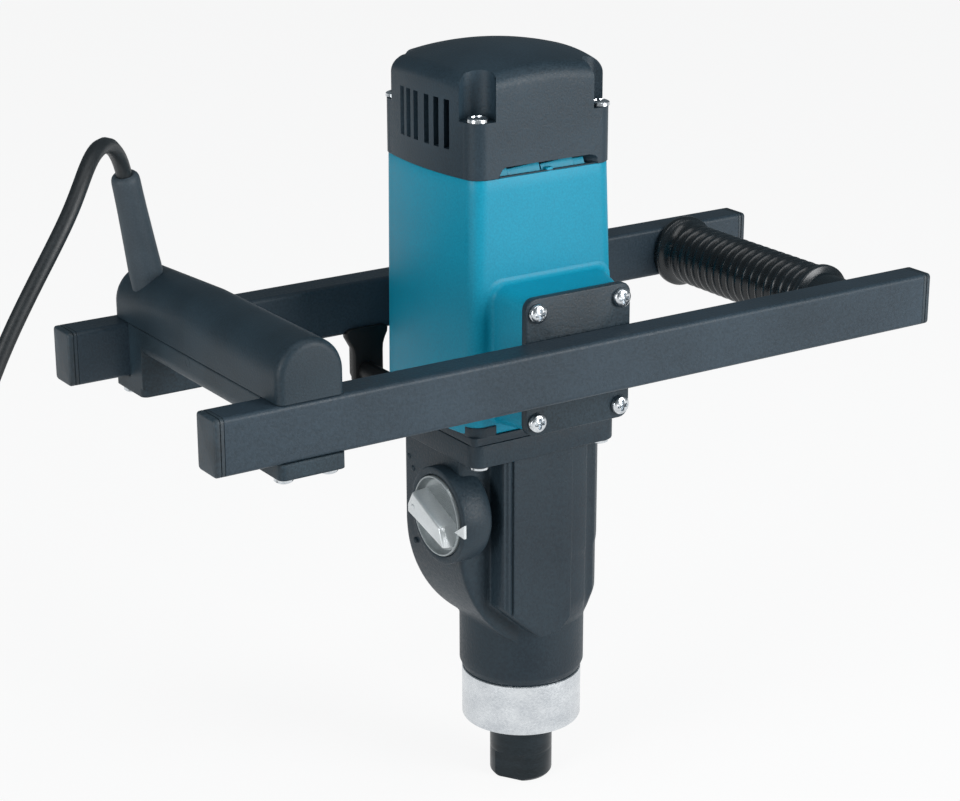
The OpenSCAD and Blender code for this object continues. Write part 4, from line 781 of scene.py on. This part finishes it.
# Spindle. Hardened steel, turned and blackened, with two wrench flats, a threaded
# socket from below, and inside the housing its journals and six splines.
nose_r, flat_at, flat_reach, journal_r, spline_root, spline_tip = 15.2, np.radians(32), 12.9, 10.5, 6.6, 8.0
thread_pitch, thread_root, thread_h = 2.0, 6.1, 0.75
around = np.linspace(0, 2 * np.pi, 96, endpoint=False)
to_flat = flat_reach / np.maximum(abs(np.cos(around - flat_at)), 0.05)
spline_r = np.where(abs((np.degrees(around) + 30) % 60 - 30) < 9.5, spline_tip, spline_root)
# Each row is a level and a radius, which is one number or one for each of the points around.
spindle_rows = [(neck_z + z, r) for z, r in (
    (79.3, 5.4), (78.7, 6), (73.7, 6), (73.5, spline_root), (72.5, spline_r), (34.7, spline_r),
    (34.5, journal_r), (17, journal_r), (17, 12.5), (2, 12.5), (2, nose_r))]
spindle_rows += [(36, nose_r), (15.2, nose_r), (14.3, nose_r)]
# The nose from the top of its flats down: a level, its radius, and how far it stands off the flats.
spindle_rows += [(z, np.minimum(r, to_flat + off)) for z, r, off in (
    (14.0, 15.1, 0.7), (13.6, 15.1, 0.15), (13, nose_r, 0), (2.2, nose_r, 0), (1.5, 15.1, 0), (0.9, 14.7, 0),
    (0.3, 14.2, -0.2), (0, 13.8, -0.6))]
spindle_rows += [(0, 8.2), (0.9, 7.2)]
# The thread in the nose: a triangle wave that climbs by one pitch a turn.
thread_z = np.arange(1.2, 29.6, 0.25)
thread = thread_root + thread_h * abs(2 * ((thread_z[:, None] / thread_pitch + around / (2 * np.pi)) % 1) - 1)
spindle_rows += [*zip(thread_z, thread), (30, 5.0)]
spindle_rings = np.array([lay(np.stack([r * np.cos(around), r * np.sin(around)], -1), 2, z)
                          for z, r in spindle_rows])
# Blackened steel: dark and oily, its shine drawn into rings by the lathe.
black_steel = finish("blackened_steel", "#141C20", "#242E34", 0.36, 10, 0.8, 0.012, metallic=0.6,
                     stretch=(0.4, 0.4, 2.5))
nose = skin("spindle_shaft", [spindle_rings], black_steel, sharp=25)
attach(nose, "spindle")
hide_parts("spindle")

# Cable duct. A soft rubber boot under the far bar that leads the switch cable down to
# the motor housing: a flat front with a hump under the bar, and a round sleeve behind.
boot_y, housing_y = span("far_bar")[0][1] - 2, 38.6
cable_low, cable_high = span("inner_cable")
cable_at = cable_high[:2] - 2.2
# Down the boot's front: the level, and the left and the right edge there.
boot_edges = [(221.2, -57.0, -40.0), (220.6, -58.9, -38.0), (219.4, -60.2, -36.8), (217.4, -60.0, -37.0),
              (214.6, -58.4, -38.4), (211.6, -56.7, -39.4), (208.5, -56.0, -39.6), (196, -56.0, -39.6),
              (195, -55.8, -39.8), (194.6, -55.2, -40.4)]
boot_front = np.array([lay(rounded(x0, x1, boot_y, boot_y + 4, 1.2), 2, z) for z, x0, x1 in boot_edges])
sleeve_profile = [(218.4, 1), (218.4, 5), (197, 5), (195.6, 4.5), (195, 3.4), (194.8, 1)]
boot_sleeve = turned(sleeve_profile, (*cable_at, 0), (0, 0, 1), 32)
branch = cable_at[1] - housing_y
boot_branch = turned([(-0.4, 1), (-0.4, 4.2), (0, 4.5), (branch, 4.5), (branch + 0.1, 1)],
                     (cable_at[0], housing_y, cable_low[2] + 2.2), (0, 1, 0), 32)
# Soft rubber, black and darkened further to nearly black as painted shade under the far bar: matt, with a
# faint shine along its rounded edges.
duct_rubber_painted_shade = finish("soft_rubber_duct_painted_shade", "#07090B", "#0F1417", 0.5, 20, 0.9, 0.03, gleam=0.35)
duct = skin("cable_boot", [boot_front, boot_sleeve, boot_branch], duct_rubber_painted_shade, sharp=40)
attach(duct, "body")
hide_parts("cable_duct")
coat(sheath, "inner_cable")

# Inside parts, each in the finish that it is made with. They don't show in the closed
# drill, but they do in a cut or with a cover taken off.
# For each finish: its nodes, then dark, light, roughness, patch, grain, height and metallic.
inside_parts = {
    "laminated_steel_sheets": (("field_core", "armature_core"),
                               ("#5E6468", "#7C8286", 0.45, 8, 0.5, 0.02, 1.0)),
    "enamelled_copper_wire": (("field_coils", "armature_windings"),
                              ("#7A3A1C", "#A85A2A", 0.35, 6, 0.8, 0.08, 0.8)),
    "turned_copper_bars": (("commutator",), ("#A9693F", "#C98555", 0.25, 5, 0.6, 0.01, 1.0)),
    "pressed_phenolic_board": (("brush_plate",), ("#5E4526", "#7A5C34", 0.6, 15, 1.0, 0.03, 0.0)),
    "pressed_carbon": (("carbon_brushes",), ("#15171A", "#222528", 0.5, 4, 0.5, 0.02, 0.1)),
    "ground_bearing_steel": (("upper_bearing", "lower_bearing", "shaft_bearings", "spindle_bearings"),
                             ("#A9AFB4", "#C6CBCF", 0.2, 10, 0.7, 0.005, 1.0)),
    "moulded_nylon_guide": (("air_baffle", "fan"), ("#232B30", "#323C43", 0.5, 20, 1.0, 0.04, 0.0)),
    "raw_die_cast_aluminium": (("inner_bracket",), ("#868C91", "#A3A9AD", 0.5, 8, 0.8, 0.05, 1.0)),
    "nitrile_seal_rubber": (("oil_seal",), ("#14191C", "#20272B", 0.45, 12, 1.0, 0.02, 0.0)),
    "case_hardened_gear_steel": (("first_gear", "second_gear", "gear_block"),
                                 ("#7F868B", "#9EA5AA", 0.32, 6, 0.6, 0.012, 1.0)),
    "ground_shaft_steel": (("armature_shaft", "first_shaft", "second_shaft", "trigger_pin"),
                           ("#989FA4", "#B9BFC3", 0.25, 8, 0.6, 0.008, 1.0)),
    "cast_brass_fork": (("shift_fork",), ("#8C7338", "#B09552", 0.4, 6, 0.7, 0.03, 1.0)),
}
for name, (nodes, look) in inside_parts.items():
    coat(finish(name, *look), *nodes)

# Floor. A pale seamless sheet. It shows white to the camera and in mirrors, and keeps
# a soft shadow under the drill.
floor_half, across_floor = 6, 5
places = np.linspace(-floor_half, floor_half, across_floor)
floor_points = lay(np.stack(np.meshgrid(places, places), -1).reshape(-1, 2), 2, 0)
square = (np.arange(across_floor - 1)[:, None] * across_floor + np.arange(across_floor - 1)).reshape(-1)
floor_faces = np.stack([square, square + 1, square + across_floor + 1, square + across_floor], -1)
floor_mesh = bpy.data.meshes.new("floor_sheet")
floor_mesh.from_pydata(floor_points.tolist(), [], floor_faces.tolist())
paper = bpy.data.materials.new("seamless_paper")
paper.use_nodes = True
tree = paper.node_tree
tree.nodes.clear()
ray = add(tree, "LightPath")
seen = ray.outputs["Is Camera Ray"]
for kind in ("Is Glossy Ray", "Is Transmission Ray"):
    seen = add(tree, "Math", {"operation": "MAXIMUM"}, {0: seen, 1: ray.outputs[kind]}).outputs[0]
glow_share = add(tree, "Math", {"operation": "MULTIPLY"}, {0: seen, 1: 0.9})
fibre = add(tree, "TexNoise", {}, {"Vector": add(tree, "TexCoord").outputs["Object"], "Scale": 300.0})
tone = add(tree, "Mix", {"data_type": "RGBA"},
           {0: fibre.outputs["Fac"], 6: srgb("#F4F5F6"), 7: srgb("#F8F8F8")})
matt = add(tree, "BsdfDiffuse", {}, {"Color": tone.outputs[2]})
glow = add(tree, "Emission", {}, {"Color": (1, 1, 1, 1), "Strength": 1.0})
mixed = add(tree, "MixShader", {}, {0: glow_share.outputs[0], 1: matt.outputs[0], 2: glow.outputs[0]})
add(tree, "OutputMaterial", {}, {"Surface": mixed.outputs[0]})
floor_mesh.materials.append(paper)
floor = bpy.data.objects.new("floor_sheet", floor_mesh)
bpy.context.scene.collection.objects.link(floor)

# Light. A dim pale room that shows white to the camera, with a tall soft box to the
# right of the front, a weaker one at the left and a long one above.
world = bpy.data.worlds.new("studio")
bpy.context.scene.world = world
world.use_nodes = True
tree = world.node_tree
tree.nodes.clear()
ray = add(tree, "LightPath")
room = add(tree, "Background", {}, {"Color": srgb("#D3E2EA"), "Strength": 0.22})
white = add(tree, "Background", {}, {"Color": (1, 1, 1, 1), "Strength": 1.0})
lit = add(tree, "MixShader", {}, {0: ray.outputs["Is Camera Ray"], 1: room.outputs[0], 2: white.outputs[0]})
add(tree, "OutputWorld", {}, {"Surface": lit.outputs[0]})
# Each soft box: its place and its size in metres, and its power in watts.
lamps = (("right_box", (0.9, -1.7, 0.75), (0.9, 1.4), 36.0),
         ("left_box", (-1.9, -0.5, 0.7), (0.8, 1.2), 20.0),
         ("top_box", (-0.1, -0.5, 1.9), (1.6, 0.5), 8.0))
aim_at = [0, 0, 0.2]
for name, at, size, power in lamps:
    lamp = bpy.data.lights.new(name, "AREA")
    lamp.shape, lamp.size, lamp.size_y, lamp.energy = "RECTANGLE", *size, power
    box = bpy.data.objects.new(name, lamp)
    bpy.context.scene.collection.objects.link(box)
    back = np.array(at) - aim_at
    back /= np.linalg.norm(back)
    side = np.cross([0, 0, 1], back)
    side /= np.linalg.norm(side)
    place = np.eye(4)
    place[:3, :3] = np.stack([side, np.cross(back, side), back], -1)
    place[:3, 3] = at
    box.matrix_world = Matrix(place.tolist())
